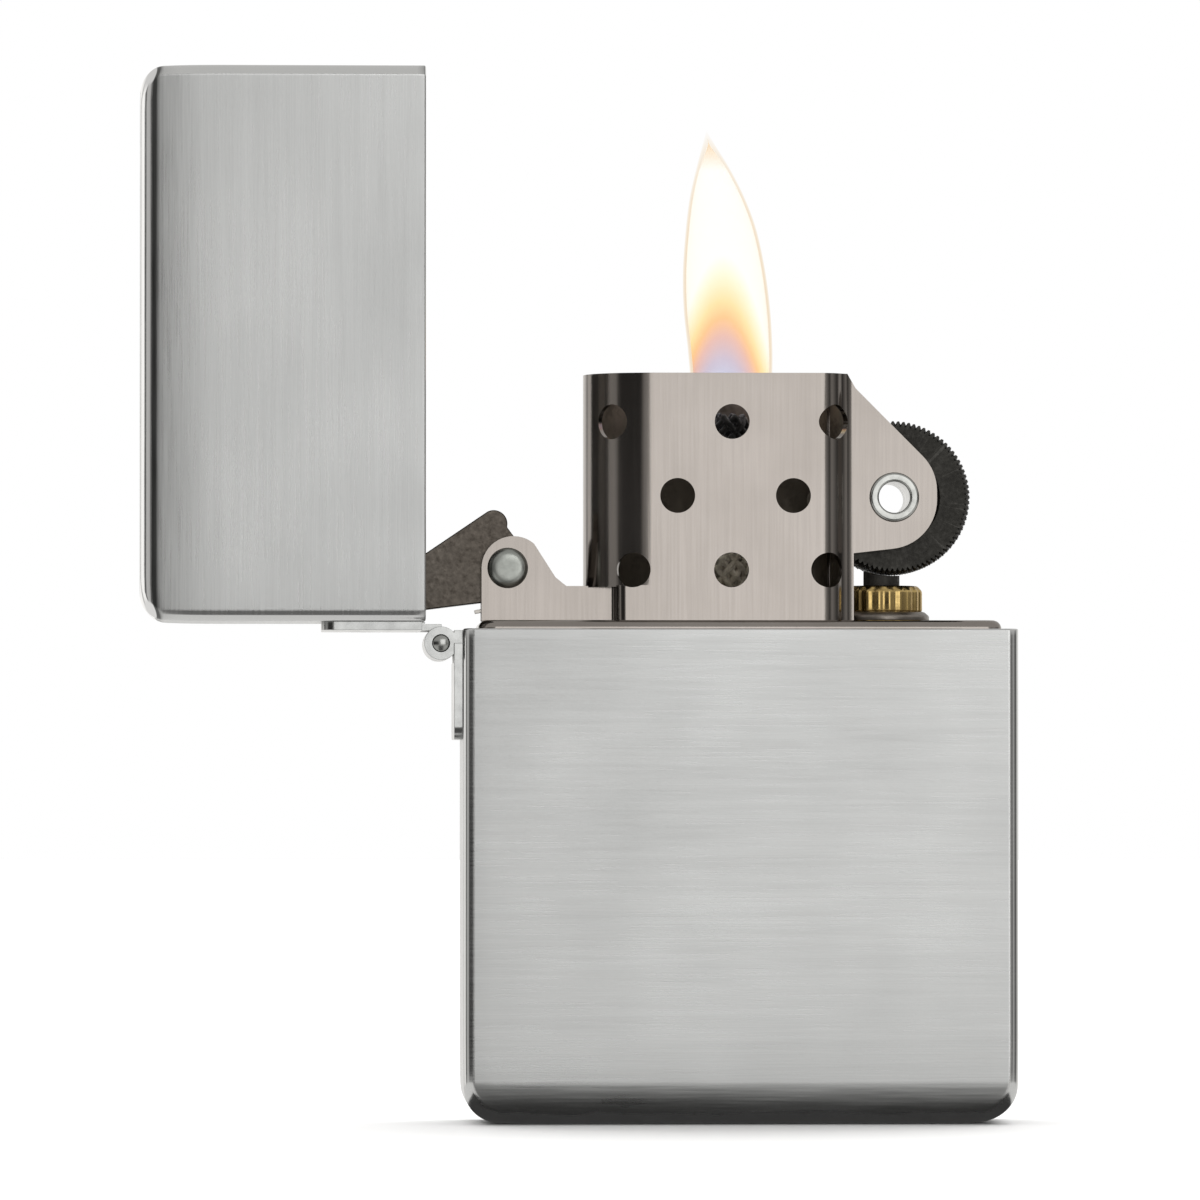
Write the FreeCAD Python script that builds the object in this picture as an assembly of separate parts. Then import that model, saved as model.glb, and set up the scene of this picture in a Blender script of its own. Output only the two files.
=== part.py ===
import FreeCAD, Part
import math
import os

# A flip-top windproof lighter, in millimetres, standing open with its lid swung back to the left.
# The origin is the centre of the case's bottom face: +X towards the flint wheel, +Z up, front at -Y.

# Case and lid: two drawn cans with one plan
CASE_WIDTH = 38.1
CASE_DEPTH = 12.7
CASE_HEIGHT = 34.0
LID_HEIGHT = 19.6
CASE_WALL = 0.7
CORNER_RADIUS = 0.8
CASE_END_RADIUS_FRONT = 2.6
CASE_END_RADIUS_SIDE = 3.0
LID_END_RADIUS_FRONT = 1.7
LID_END_RADIUS_SIDE = 1.3
LID_GAP = 0.06

# Barrel hinge, soldered outside on the left
PIN_OUTSIDE_FACE = 1.5
PIN_BELOW_RIM = 1.0
PIN_RADIUS = 0.6
LID_BORE_RADIUS = 0.65
BARREL_RADIUS = 1.15
LEAF_THICKNESS = 0.6
LEAF_CORNER = 0.9
HINGE_WIDTH = 9.6
KNUCKLES = 4
KNUCKLE_GAP = 0.12
CASE_LEAF_LENGTH = 6.6
LID_LEAF_LENGTH = 8.2
NOTCH_REACH = BARREL_RADIUS + 0.15
CASE_FACE_GAP = 0.15

# Insert tank, drawn with a closed top and an open bottom
TANK_HALF_WIDTH = 18.0
TANK_HALF_DEPTH = 5.45
TANK_BOTTOM = 2.3
TANK_TOP = CASE_HEIGHT + 0.6
TANK_WALL = 0.4
TANK_CORNER = 1.2
TANK_TOP_EDGE = 0.6

# Chimney: one stamping, rounded at the cam's side and open at the wheel's side
SHEET = 0.4
CHIMNEY_TOP = CASE_HEIGHT + 17.6
CHIMNEY_HALF_DEPTH = 4.65
CHIMNEY_LEFT = -10.65
CHIMNEY_FLAT_END = 5.5
EAR_START = 8.0
EAR_HALF_DEPTH = 3.25
EAR_SHOULDER = (7.46, 8.04)
EAR_SHOULDER_DROP = 1.0
EAR_RIGHT = 13.65
EAR_ARC_RADIUS = 3.4
EAR_ARC_HIGH = CASE_HEIGHT + 9.55
EAR_ARC_LOW = CASE_HEIGHT + 8.93
EAR_SLOPE_DEG = 46.0
EAR_HEEL = (7.9, CASE_HEIGHT + 5.24)
VENT_RADIUS = 1.2
VENT_DRILL = 2.4
VENT_HEIGHTS = (CASE_HEIGHT + 14.25, CASE_HEIGHT + 9.16, CASE_HEIGHT + 4.05)
FRONT_VENTS = ((-8.7, -0.55, 6.5), (-4.3, 3.66), (-7.3, -0.6, 6.05))
BACK_VENTS = ((-4.6, 3.0), (-8.3, -0.6, 6.6), (-4.0, 2.7))

# Cam, its two ears, its rivet and its leaf spring
CAM_X = -15.9
CAM_Z = CASE_HEIGHT + 4.24
CAM_HUB_RADIUS = 2.6
CAM_HALF_THICKNESS = 1.1
CAM_BORE_RADIUS = 0.66
CAM_NOSE_REACH = 6.5
CAM_NOSE_RADIUS = 0.5
CAM_CLEARANCE = 0.05
CAM_SHOULDER = (-16.85, CASE_HEIGHT + 7.3)
CAM_SHOULDER_RADIUS = 0.95
CAM_BACK = (-22.35, CASE_HEIGHT + 4.0)
CAM_BACK_RADIUS = 0.6
CAM_EAR_HALF_DEPTH = 1.65
CAM_EAR_LEFT = -17.7
CAM_EAR_RADIUS = 2.2
CAM_EAR_TURN_DEG = 50
CAM_NECK = (-12.6, CASE_HEIGHT + 3.6)
CAM_NECK_FOOT = -11.85
CAM_STRIP_TOP = CASE_HEIGHT + 3.0
CAM_STRIP_WEB_X = -8.3
CAM_STRIP_BEND_RADIUS = 0.45
WALL_FOOT_LEFT = -6.2
WALL_END_FOOT = CAM_STRIP_TOP - 0.1
CAM_RIVET_RADIUS = 0.6
CAM_RIVET_HEAD_RADIUS = 1.4
CAM_RIVET_HEAD_HEIGHT = 0.45
SPRING_LEAF = 0.25
SPRING_HALF_WIDTH = 0.9
SPRING_FOOT = -11.2
SPRING_RIVET_X = -12.1
SPRING_RIVET_RADIUS = 0.5
SPRING_RIVET_HEAD = 0.85
SPRING_TIP = -18.15

# Flint wheel on its hollow axle
WHEEL_X = 10.7
WHEEL_Z = CASE_HEIGHT + 9.1
WHEEL_RADIUS = 5.3
WHEEL_TOOTH_DEPTH = 0.26
WHEEL_TEETH = 88
WHEEL_HALF_WIDTH = 2.7
WHEEL_EDGE = 0.2
WHEEL_BORE_RADIUS = 1.47
AXLE_RADIUS = 1.4
AXLE_HOLE_RADIUS = 1.075
AXLE_FLANGE_RADIUS = 1.75
AXLE_FLANGE_HEIGHT = 0.25

# Flint column: tube, collar, flint, plunger, spring and screw
FLINT_X = 10.03
FLINT_RADIUS = 1.25
FLINT_TOP = CASE_HEIGHT + 4.3
FLINT_BOTTOM = CASE_HEIGHT - 1.2
FLINT_GAP = 0.06
TUBE_RADIUS = 1.75
TUBE_BORE_RADIUS = 1.32
TUBE_BOTTOM = 3.5
FERRULE_RADIUS = 2.82
FERRULE_BOTTOM = CASE_HEIGHT + 1.25
FERRULE_TOP = CASE_HEIGHT + 3.04
FERRULE_EDGE = 0.35
COLLAR_RADIUS = 3.3
PLUNGER_HEAD_RADIUS = 1.25
PLUNGER_HEAD_HEIGHT = 1.1
PLUNGER_STEM_RADIUS = 0.5
PLUNGER_STEM_LENGTH = 4.6
COIL_RADIUS = 0.9
COIL_WIRE_RADIUS = 0.17
COIL_PITCH = 1.2
SCREW_RADIUS = 1.27
SCREW_TOP = 7.0
SCREW_THREAD_PITCH = 0.5
SCREW_THREAD_DEPTH = 0.18
SCREW_HEAD_RADIUS = 2.3
SCREW_HEAD_BOTTOM = 2.4
SCREW_SLOT_WIDTH = 0.5
SCREW_SLOT_DEPTH = 0.45
PART_GAP = 0.05

# Wick, packing and felt
WICK_X = -0.6
WICK_RADIUS = 1.5
WICK_BOTTOM = 9.0
WICK_TOP = CASE_HEIGHT + 15.0
WICK_HOLE_RADIUS = 1.7
FELT_LOW = 2.5
FELT_HIGH = 5.0
WADS = 4
WAD_GAP = 0.2
SOFT_SIDE_GAP = 0.25
SOFT_CORNER = 1.0

PIN_X = -CASE_WIDTH / 2 - PIN_OUTSIDE_FACE
PIN_Z = CASE_HEIGHT - PIN_BELOW_RIM
LID_INNER_WALL = PIN_OUTSIDE_FACE + CASE_WALL
OPEN_ANGLE = -90.0
ALONG_Y = FreeCAD.Vector(0, 1, 0)
ALONG_Z = FreeCAD.Vector(0, 0, 1)
WIDE = 30.0


def vec(x, y, z):
    return FreeCAD.Vector(x, y, z)


def box(low, high):
    size = [high[axis] - low[axis] for axis in range(3)]
    return Part.makeBox(size[0], size[1], size[2], vec(*low))


def rod_z(radius, x, low, high):
    """An upright cylinder on the front-to-back mid plane."""
    return Part.makeCylinder(radius, high - low, vec(x, 0, low), ALONG_Z)


def rod_y(radius, x, z, low, high):
    """A cylinder that runs from front to back."""
    return Part.makeCylinder(radius, high - low, vec(x, low, z), ALONG_Y)


def fillet_edges(shape, radius, chosen):
    """Round every edge for which chosen(edge) is true."""
    edges = [edge for edge in shape.Edges if chosen(edge)]
    return shape.makeFillet(radius, edges)


def runs_along(edge, axis):
    box_ = edge.BoundBox
    spans = [box_.XLength, box_.YLength, box_.ZLength]
    others = [span for number, span in enumerate(spans) if number != axis]
    return max(others) < 1e-6


def at_height(edge, z):
    return abs(edge.BoundBox.ZMin - z) < 1e-6 and abs(edge.BoundBox.ZMax - z) < 1e-6


def upright_box(low, high, corner):
    """A box whose four upright edges are rounded."""
    return fillet_edges(box(low, high), corner, lambda edge: runs_along(edge, 2))


def mirrored(shape):
    """The same shape on the other side of the front-to-back mid plane."""
    return shape.mirror(vec(0, 0, 0), ALONG_Y)


def turned_about_pin(shape, degrees):
    turned = shape.copy()
    turned.rotate(vec(PIN_X, 0, PIN_Z), ALONG_Y, degrees)
    return turned


def turned_profile(points, x):
    """A solid of revolution about an upright axis, from (radius, height) points."""
    ring = [vec(x + radius, 0, height) for radius, height in points]
    face = Part.Face(Part.makePolygon(ring + [ring[0]]))
    return face.revolve(vec(x, 0, 0), ALONG_Z, 360)


def ribbon(start, heading_deg, moves, thickness):
    """A flat band of even thickness about a path of lines and arcs in the XY plane.

    Each move is (length,) for a line or (radius, turn_deg) for an arc that turns left when positive.
    """
    sides = ([], [])
    x, y = start
    heading = math.radians(heading_deg)
    half = thickness / 2
    offsets = (half, -half)
    for move in moves:
        if len(move) == 1:
            length = move[0]
            end = (x + length * math.cos(heading), y + length * math.sin(heading))
            for side, offset in zip(sides, offsets):
                across = (-offset * math.sin(heading), offset * math.cos(heading))
                first = vec(x + across[0], y + across[1], 0)
                last = vec(end[0] + across[0], end[1] + across[1], 0)
                side.append(Part.LineSegment(first, last).toShape())
            x, y = end
            continue
        radius, turn = move[0], math.radians(move[1])
        left = 1 if turn > 0 else -1
        centre = (x - left * radius * math.sin(heading), y + left * radius * math.cos(heading))
        for side, offset in zip(sides, offsets):
            reach = radius - left * offset
            points = []
            for share in (0, 0.5, 1):
                angle = heading + turn * share
                points.append(
                    vec(
                        centre[0] + left * reach * math.sin(angle),
                        centre[1] - left * reach * math.cos(angle),
                        0,
                    )
                )
            side.append(Part.Arc(*points).toShape())
        heading += turn
        x = centre[0] + left * radius * math.sin(heading)
        y = centre[1] - left * radius * math.cos(heading)
    left_side, right_side = Part.Wire(sides[0]), Part.Wire(sides[1])
    caps = []
    for end in (0, -1):
        first = left_side.OrderedVertexes[end].Point
        last = right_side.OrderedVertexes[end].Point
        caps.append(Part.LineSegment(first, last).toShape())
    edges = Part.__sortEdges__(sides[0] + sides[1] + caps)
    return Part.Face(Part.Wire(edges))


def s_bend(length, offset):
    """The arc radius and turn of an S of two equal arcs, offset sideways over a length."""
    radius = (length**2 + offset**2) / (4 * offset)
    turn = math.degrees(math.asin(length / (2 * radius)))
    return radius, turn


def side_prism(wire):
    """A front-view outline carried through the whole depth."""
    outline = wire.copy()
    outline.translate(vec(0, -WIDE / 2, 0))
    return Part.Face(outline).extrude(vec(0, WIDE, 0))


def drawn_can(width, depth, height, corner, radius_front, radius_side):
    """The outside of a drawn can with its closed, rounded end at Z = 0."""
    low = (-width / 2, -depth / 2, 0)
    high = (width / 2, depth / 2, height)
    plan = upright_box(low, high, corner)
    front = fillet_edges(
        box(low, high), radius_front, lambda edge: runs_along(edge, 1) and at_height(edge, 0)
    )
    side = fillet_edges(
        box(low, high), radius_side, lambda edge: runs_along(edge, 0) and at_height(edge, 0)
    )
    return plan.common(front).common(side)


def can_shell(height, radius_front, radius_side):
    """A drawn can of even wall, open at its top."""
    outside = drawn_can(
        CASE_WIDTH, CASE_DEPTH, height, CORNER_RADIUS, radius_front, radius_side
    )
    inside = drawn_can(
        CASE_WIDTH - 2 * CASE_WALL,
        CASE_DEPTH - 2 * CASE_WALL,
        height,
        CORNER_RADIUS - CASE_WALL + 0.1,
        radius_front - CASE_WALL,
        radius_side - CASE_WALL,
    )
    inside.translate(vec(0, 0, CASE_WALL))
    return outside.cut(inside)


def lid_shell():
    shell = can_shell(LID_HEIGHT, LID_END_RADIUS_FRONT, LID_END_RADIUS_SIDE)
    shell.rotate(vec(0, 0, 0), ALONG_Y, 180)
    shell.translate(vec(0, 0, CASE_HEIGHT + LID_GAP + LID_HEIGHT))
    return turned_about_pin(shell, OPEN_ANGLE)


def knuckle_spans(first):
    """Front-to-back spans of every second knuckle, starting with the given one."""
    pitch = HINGE_WIDTH / KNUCKLES
    spans = []
    for number in range(first, KNUCKLES, 2):
        low = -HINGE_WIDTH / 2 + number * pitch
        spans.append((low, low + pitch))
    return spans


def hinge_leaf(length, own_first, bore_radius, above_mouth, face_gap):
    """A leaf and its knuckles about a pin at the origin, with the leaf pointing down.

    above_mouth is how far the leaf rises past the pin beside its own knuckles, and face_gap is the
    space it leaves there to the face that it closes against.
    """
    face = PIN_OUTSIDE_FACE
    outer = face - LEAF_THICKNESS
    plate = box((outer, -HINGE_WIDTH / 2, -length), (face, HINGE_WIDTH / 2, 0))
    plate = fillet_edges(
        plate, LEAF_CORNER, lambda edge: runs_along(edge, 0) and at_height(edge, -length)
    )
    for low, high in knuckle_spans(1 - own_first):
        notch = box(
            (-WIDE, low - KNUCKLE_GAP / 2, -NOTCH_REACH), (WIDE, high + KNUCKLE_GAP / 2, WIDE)
        )
        plate = plate.cut(notch)
    leaf = plate
    for low, high in knuckle_spans(own_first):
        front, back = low + KNUCKLE_GAP / 2, high - KNUCKLE_GAP / 2
        leaf = leaf.fuse(rod_y(BARREL_RADIUS, 0, 0, front, back))
        leaf = leaf.fuse(box((outer, front, -0.1), (face, back, above_mouth)))
    relief = box((face - face_gap, -WIDE, -PIN_BELOW_RIM - LID_GAP), (WIDE, WIDE, WIDE))
    if face_gap:
        leaf = leaf.cut(relief)
    bore = rod_y(bore_radius, 0, 0, -WIDE, WIDE)
    return leaf.cut(bore).removeSplitter()


def case_hinge_leaf():
    leaf = hinge_leaf(CASE_LEAF_LENGTH, 0, PIN_RADIUS, PIN_BELOW_RIM - 0.1, 0)
    leaf.translate(vec(PIN_X, 0, PIN_Z))
    return leaf


def lid_hinge_leaf():
    leaf = hinge_leaf(LID_LEAF_LENGTH, 1, LID_BORE_RADIUS, 0.1, CASE_FACE_GAP)
    leaf = leaf.mirror(vec(0, 0, 0), ALONG_Z)
    leaf.translate(vec(PIN_X, 0, PIN_Z))
    return turned_about_pin(leaf, OPEN_ANGLE)


def hinge_pin():
    reach = HINGE_WIDTH / 2
    return rod_y(PIN_RADIUS, PIN_X, PIN_Z, -reach, reach)


def insert_tank():
    low = (-TANK_HALF_WIDTH, -TANK_HALF_DEPTH, TANK_BOTTOM)
    high = (TANK_HALF_WIDTH, TANK_HALF_DEPTH, TANK_TOP)
    outside = upright_box(low, high, TANK_CORNER)
    outside = fillet_edges(outside, TANK_TOP_EDGE, lambda edge: at_height(edge, TANK_TOP))
    inside = upright_box(
        (low[0] + TANK_WALL, low[1] + TANK_WALL, low[2] - 1),
        (high[0] - TANK_WALL, high[1] - TANK_WALL, high[2] - TANK_WALL),
        TANK_CORNER - TANK_WALL,
    )
    holes = [
        rod_z(WICK_HOLE_RADIUS, WICK_X, TANK_BOTTOM, TANK_TOP + 1),
        rod_z(TUBE_RADIUS, FLINT_X, TANK_BOTTOM, TANK_TOP + 1),
        rod_z(SPRING_RIVET_RADIUS, SPRING_RIVET_X, TANK_BOTTOM, TANK_TOP + 1),
    ]
    tank = outside.cut(inside)
    for hole in holes:
        tank = tank.cut(hole)
    return tank


def polyline(points, close=True):
    corners = [vec(x, 0, z) for x, z in points]
    if close:
        corners.append(corners[0])
    return Part.makePolygon(corners)


def arc_edge(centre, radius, from_deg, to_deg):
    """An arc in the front view, through the middle of its turn."""
    points = []
    for angle in (from_deg, (from_deg + to_deg) / 2, to_deg):
        turn = math.radians(angle)
        points.append(
            vec(centre[0] + radius * math.cos(turn), 0, centre[1] + radius * math.sin(turn))
        )
    return Part.Arc(*points).toShape()


def joined(edges):
    """Close a loop of edges, drawing a straight line across each gap between neighbours."""
    loop = []
    for number, edge in enumerate(edges):
        following = edges[(number + 1) % len(edges)]
        loop.append(edge)
        first, last = edge.lastVertex().Point, following.firstVertex().Point
        if first.distanceToPoint(last) > 1e-6:
            loop.append(Part.LineSegment(first, last).toShape())
    return Part.Wire(loop)


def wall_outline():
    """Front view of the chimney's wall and its wheel ear.

    Left of its foot the wall stands clear of the tank, above the strips that carry the cam.
    """
    slope_normal = 90 - EAR_SLOPE_DEG
    centre_x = EAR_RIGHT - EAR_ARC_RADIUS
    high_arc = arc_edge((centre_x, EAR_ARC_HIGH), EAR_ARC_RADIUS, slope_normal, 0)
    low_arc = arc_edge((centre_x, EAR_ARC_LOW), EAR_ARC_RADIUS, 0, -84)
    left = CHIMNEY_LEFT - 1
    foot = polyline(
        [
            EAR_HEEL,
            (EAR_HEEL[0], TANK_TOP),
            (WALL_FOOT_LEFT, TANK_TOP),
            (WALL_FOOT_LEFT, WALL_END_FOOT),
            (left, WALL_END_FOOT),
            (left, CHIMNEY_TOP),
        ],
        False,
    )
    top = polyline(
        [
            (left, CHIMNEY_TOP),
            (EAR_SHOULDER[0], CHIMNEY_TOP),
            (EAR_SHOULDER[1], CHIMNEY_TOP - EAR_SHOULDER_DROP),
        ],
        False,
    )
    return joined([high_arc, low_arc] + foot.Edges + top.Edges)


def cam_ear_outline():
    """Front view of the cam's ear and of the strip that ties it to the chimney."""
    ear_x = CAM_EAR_LEFT + CAM_EAR_RADIUS
    ear_z = CAM_Z
    top = arc_edge((ear_x, ear_z), CAM_EAR_RADIUS, 180, CAM_EAR_TURN_DEG)
    side = polyline([CAM_NECK, (CAM_NECK_FOOT, CAM_STRIP_TOP)], False)
    right = CHIMNEY_LEFT + CHIMNEY_HALF_DEPTH
    foot = polyline([(right, CAM_STRIP_TOP), (right, TANK_TOP), (CAM_EAR_LEFT, TANK_TOP)], False)
    return joined([top] + side.Edges + foot.Edges)


def vent_drill(x, height):
    """A drill square to the front wall where the wall passes x, at the given height."""
    middle = CHIMNEY_HALF_DEPTH - SHEET / 2
    end_centre = CHIMNEY_LEFT + CHIMNEY_HALF_DEPTH
    bend_radius = s_bend(EAR_START - CHIMNEY_FLAT_END, CHIMNEY_HALF_DEPTH - EAR_HALF_DEPTH)[0]
    if x < end_centre:
        lean = math.asin((x - end_centre) / middle)
        y = -middle * math.cos(lean)
    elif x > CHIMNEY_FLAT_END:
        lean = math.asin((x - CHIMNEY_FLAT_END) / bend_radius)
        y = -middle + bend_radius * (1 - math.cos(lean))
    else:
        lean = 0
        y = -middle
    outward = vec(math.sin(lean), -math.cos(lean), 0)
    start = vec(x, y, height) - outward * VENT_DRILL / 2
    return Part.makeCylinder(VENT_RADIUS, VENT_DRILL, start, outward)


def with_vents(half, rows):
    """Drill rows of vents. The back's lie between the front's, so no draught goes straight through."""
    for height, places in zip(VENT_HEIGHTS, rows):
        for x in places:
            half = half.cut(vent_drill(x, height))
    return half


def cam_strip_moves():
    """Straight along the wall, squarely in between the walls, then straight on to the cam's ear."""
    inwards = CHIMNEY_HALF_DEPTH - CAM_EAR_HALF_DEPTH
    bend = CAM_STRIP_BEND_RADIUS
    wall_run = CHIMNEY_LEFT + CHIMNEY_HALF_DEPTH - CAM_STRIP_WEB_X - bend
    ear_run = CAM_STRIP_WEB_X - bend - CAM_EAR_LEFT + 1
    return [(wall_run,), (bend, -90), (inwards - 2 * bend,), (bend, 90), (ear_run,)]


def chimney():
    middle = CHIMNEY_HALF_DEPTH - SHEET / 2
    end_radius = middle
    bend = s_bend(EAR_START - CHIMNEY_FLAT_END, CHIMNEY_HALF_DEPTH - EAR_HALF_DEPTH)
    end_centre = CHIMNEY_LEFT + CHIMNEY_HALF_DEPTH
    wall_moves = [
        (end_radius, 90),
        (CHIMNEY_FLAT_END - end_centre,),
        (bend[0], bend[1]),
        (bend[0], -bend[1]),
        (EAR_RIGHT - EAR_START + 1,),
    ]
    wall_plan = ribbon((end_centre - end_radius, 0), -90, wall_moves, SHEET)
    strip_plan = ribbon((end_centre, -middle), 180, cam_strip_moves(), SHEET)
    half = None
    for plan, outline in ((wall_plan, wall_outline()), (strip_plan, cam_ear_outline())):
        plan.translate(vec(0, 0, TANK_TOP))
        upright = plan.extrude(vec(0, 0, WIDE))
        piece = upright.common(side_prism(outline))
        half = piece if half is None else half.fuse(piece)
    front = with_vents(half, FRONT_VENTS)
    back = mirrored(with_vents(half, BACK_VENTS))
    whole = front.fuse(back)
    whole = whole.cut(rod_y(AXLE_RADIUS, WHEEL_X, WHEEL_Z, -WIDE, WIDE))
    whole = whole.cut(rod_y(CAM_RIVET_RADIUS, CAM_X, CAM_Z, -WIDE, WIDE))
    return whole.removeSplitter()


def wheel_axle():
    """A hollow rivet through both wheel ears, with a rolled flange at each end."""
    end = EAR_HALF_DEPTH + AXLE_FLANGE_HEIGHT
    axle = rod_y(AXLE_RADIUS, WHEEL_X, WHEEL_Z, -end, end)
    for low in (-end, EAR_HALF_DEPTH):
        flange = rod_y(AXLE_FLANGE_RADIUS, WHEEL_X, WHEEL_Z, low, low + AXLE_FLANGE_HEIGHT)
        outer = -end if low < 0 else end
        flange = fillet_edges(
            flange,
            AXLE_FLANGE_HEIGHT * 0.8,
            lambda edge: abs(edge.BoundBox.YMin - outer) < 1e-6
            and abs(edge.BoundBox.YMax - outer) < 1e-6,
        )
        axle = axle.fuse(flange)
    hole = rod_y(AXLE_HOLE_RADIUS, WHEEL_X, WHEEL_Z, -WIDE, WIDE)
    return axle.cut(hole).removeSplitter()


def flint_wheel():
    """A hardened wheel with fine teeth cut right across its rim."""
    points = []
    for number in range(2 * WHEEL_TEETH):
        angle = math.pi * number / WHEEL_TEETH
        radius = WHEEL_RADIUS if number % 2 == 0 else WHEEL_RADIUS - WHEEL_TOOTH_DEPTH
        points.append((WHEEL_X + radius * math.cos(angle), WHEEL_Z + radius * math.sin(angle)))
    outline = polyline(points)
    outline.translate(vec(0, -WHEEL_HALF_WIDTH, 0))
    toothed = Part.Face(outline).extrude(vec(0, 2 * WHEEL_HALF_WIDTH, 0))
    blank = rod_y(WHEEL_RADIUS, WHEEL_X, WHEEL_Z, -WHEEL_HALF_WIDTH, WHEEL_HALF_WIDTH)
    rims = [edge for edge in blank.Edges if not runs_along(edge, 1)]
    blank = blank.makeChamfer(WHEEL_EDGE, rims)
    bore = rod_y(WHEEL_BORE_RADIUS, WHEEL_X, WHEEL_Z, -WIDE, WIDE)
    return toothed.common(blank).cut(bore)


def cam_nose():
    """The nose's centre with the lid open, where the nose nearly rests on the lid's wall."""
    wall_z = PIN_Z + LID_INNER_WALL
    nose_z = wall_z + CAM_CLEARANCE + CAM_NOSE_RADIUS
    nose_x = CAM_X - math.sqrt(CAM_NOSE_REACH**2 - (CAM_Z - nose_z) ** 2)
    return nose_x, nose_z


def hull_of_circles(circles):
    """The outline round a ring of circles, given anticlockwise as (x, z, radius)."""
    edges = []
    count = len(circles)
    for number in range(count):
        before, here, after = (circles[(number + step) % count] for step in (-1, 0, 1))
        angles = []
        for first, second in ((before, here), (here, after)):
            across = math.atan2(second[1] - first[1], second[0] - first[0]) - math.pi / 2
            apart = math.hypot(second[0] - first[0], second[1] - first[1])
            angles.append(math.degrees(across + math.asin((second[2] - first[2]) / apart)))
        start, end = angles
        while end < start:
            end += 360
        edges.append(arc_edge(here[:2], here[2], start, end))
    return joined(edges)


def cam():
    """A flat steel cam: a round hub, a shoulder above it and a nose that bears on the lid."""
    nose = cam_nose() + (CAM_NOSE_RADIUS,)
    hub = (CAM_X, CAM_Z, CAM_HUB_RADIUS)
    shoulder = CAM_SHOULDER + (CAM_SHOULDER_RADIUS,)
    back = CAM_BACK + (CAM_BACK_RADIUS,)
    outline = hull_of_circles([nose, hub, shoulder, back])
    outline.translate(vec(0, -CAM_HALF_THICKNESS, 0))
    plate = Part.Face(outline).extrude(vec(0, 2 * CAM_HALF_THICKNESS, 0))
    return plate.cut(rod_y(CAM_BORE_RADIUS, CAM_X, CAM_Z, -WIDE, WIDE))


def cam_rivet():
    """A solid rivet through the cam and both its ears, domed at both ends."""
    reach = CAM_EAR_HALF_DEPTH
    rivet = rod_y(CAM_RIVET_RADIUS, CAM_X, CAM_Z, -reach, reach)
    dome_radius = (CAM_RIVET_HEAD_RADIUS**2 + CAM_RIVET_HEAD_HEIGHT**2) / (
        2 * CAM_RIVET_HEAD_HEIGHT
    )
    inset = dome_radius - CAM_RIVET_HEAD_HEIGHT
    ball = Part.makeSphere(dome_radius, vec(CAM_X, -(reach - inset), CAM_Z))
    keep = box((-WIDE, -WIDE, 0), (WIDE, -reach, 2 * WIDE))
    head = ball.common(keep)
    return rivet.fuse(head).fuse(mirrored(head))


def cam_spring():
    """A leaf riveted to the tank's top, arched up to just under the cam's hub."""
    base = SPRING_LEAF / 2
    crest = CAM_Z - CAM_HUB_RADIUS - PART_GAP - SPRING_LEAF / 2 - TANK_TOP
    rise = crest - base
    flat = 1.6
    ramp = SPRING_FOOT - flat - CAM_X
    radius, turn = s_bend(ramp, rise)
    drop_length = CAM_X - SPRING_TIP
    drop = 0.25
    drop_radius = (drop_length**2 + drop**2) / (2 * drop)
    drop_turn = math.degrees(math.asin(drop_length / drop_radius))
    moves = [(flat,), (radius, -turn), (radius, turn), (drop_radius, drop_turn)]
    band = ribbon((SPRING_FOOT, base), 180, moves, SPRING_LEAF)
    band.rotate(vec(0, 0, 0), vec(1, 0, 0), 90)
    band.translate(vec(0, SPRING_HALF_WIDTH, TANK_TOP))
    leaf = band.extrude(vec(0, -2 * SPRING_HALF_WIDTH, 0))
    return leaf.cut(rod_z(SPRING_RIVET_RADIUS, SPRING_RIVET_X, 0, WIDE * 2))


def cam_spring_rivet():
    top = TANK_TOP + SPRING_LEAF
    head = 0.35
    edge = 0.12
    points = [
        (0, TANK_TOP - TANK_WALL - head),
        (SPRING_RIVET_HEAD, TANK_TOP - TANK_WALL - head),
        (SPRING_RIVET_HEAD, TANK_TOP - TANK_WALL),
        (SPRING_RIVET_RADIUS, TANK_TOP - TANK_WALL),
        (SPRING_RIVET_RADIUS, top),
        (SPRING_RIVET_HEAD, top),
        (SPRING_RIVET_HEAD, top + head - edge),
        (SPRING_RIVET_HEAD - 2 * edge, top + head),
        (0, top + head),
    ]
    return turned_profile(points, SPRING_RIVET_X)


def flint_tube():
    """The brass tube that the flint slides in, with a chamfered ferrule above the tank."""
    points = [
        (TUBE_BORE_RADIUS, TUBE_BOTTOM),
        (TUBE_RADIUS, TUBE_BOTTOM),
        (TUBE_RADIUS, FERRULE_BOTTOM),
        (FERRULE_RADIUS, FERRULE_BOTTOM),
        (FERRULE_RADIUS, FERRULE_TOP - FERRULE_EDGE),
        (FERRULE_RADIUS - FERRULE_EDGE, FERRULE_TOP),
        (TUBE_BORE_RADIUS, FERRULE_TOP),
    ]
    return turned_profile(points, FLINT_X)


def flint_tube_collar():
    points = [
        (TUBE_RADIUS, TANK_TOP),
        (COLLAR_RADIUS, TANK_TOP),
        (COLLAR_RADIUS, FERRULE_BOTTOM - 0.2),
        (COLLAR_RADIUS - 0.2, FERRULE_BOTTOM),
        (TUBE_RADIUS, FERRULE_BOTTOM),
    ]
    return turned_profile(points, FLINT_X)


def flint():
    """A flint rod whose top the wheel has worn hollow."""
    stick = rod_z(FLINT_RADIUS, FLINT_X, FLINT_BOTTOM, FLINT_TOP)
    worn = rod_y(WHEEL_RADIUS + FLINT_GAP, WHEEL_X, WHEEL_Z, -WIDE, WIDE)
    return stick.cut(worn)


def plunger_head_bottom():
    return FLINT_BOTTOM - PLUNGER_HEAD_HEIGHT


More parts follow.
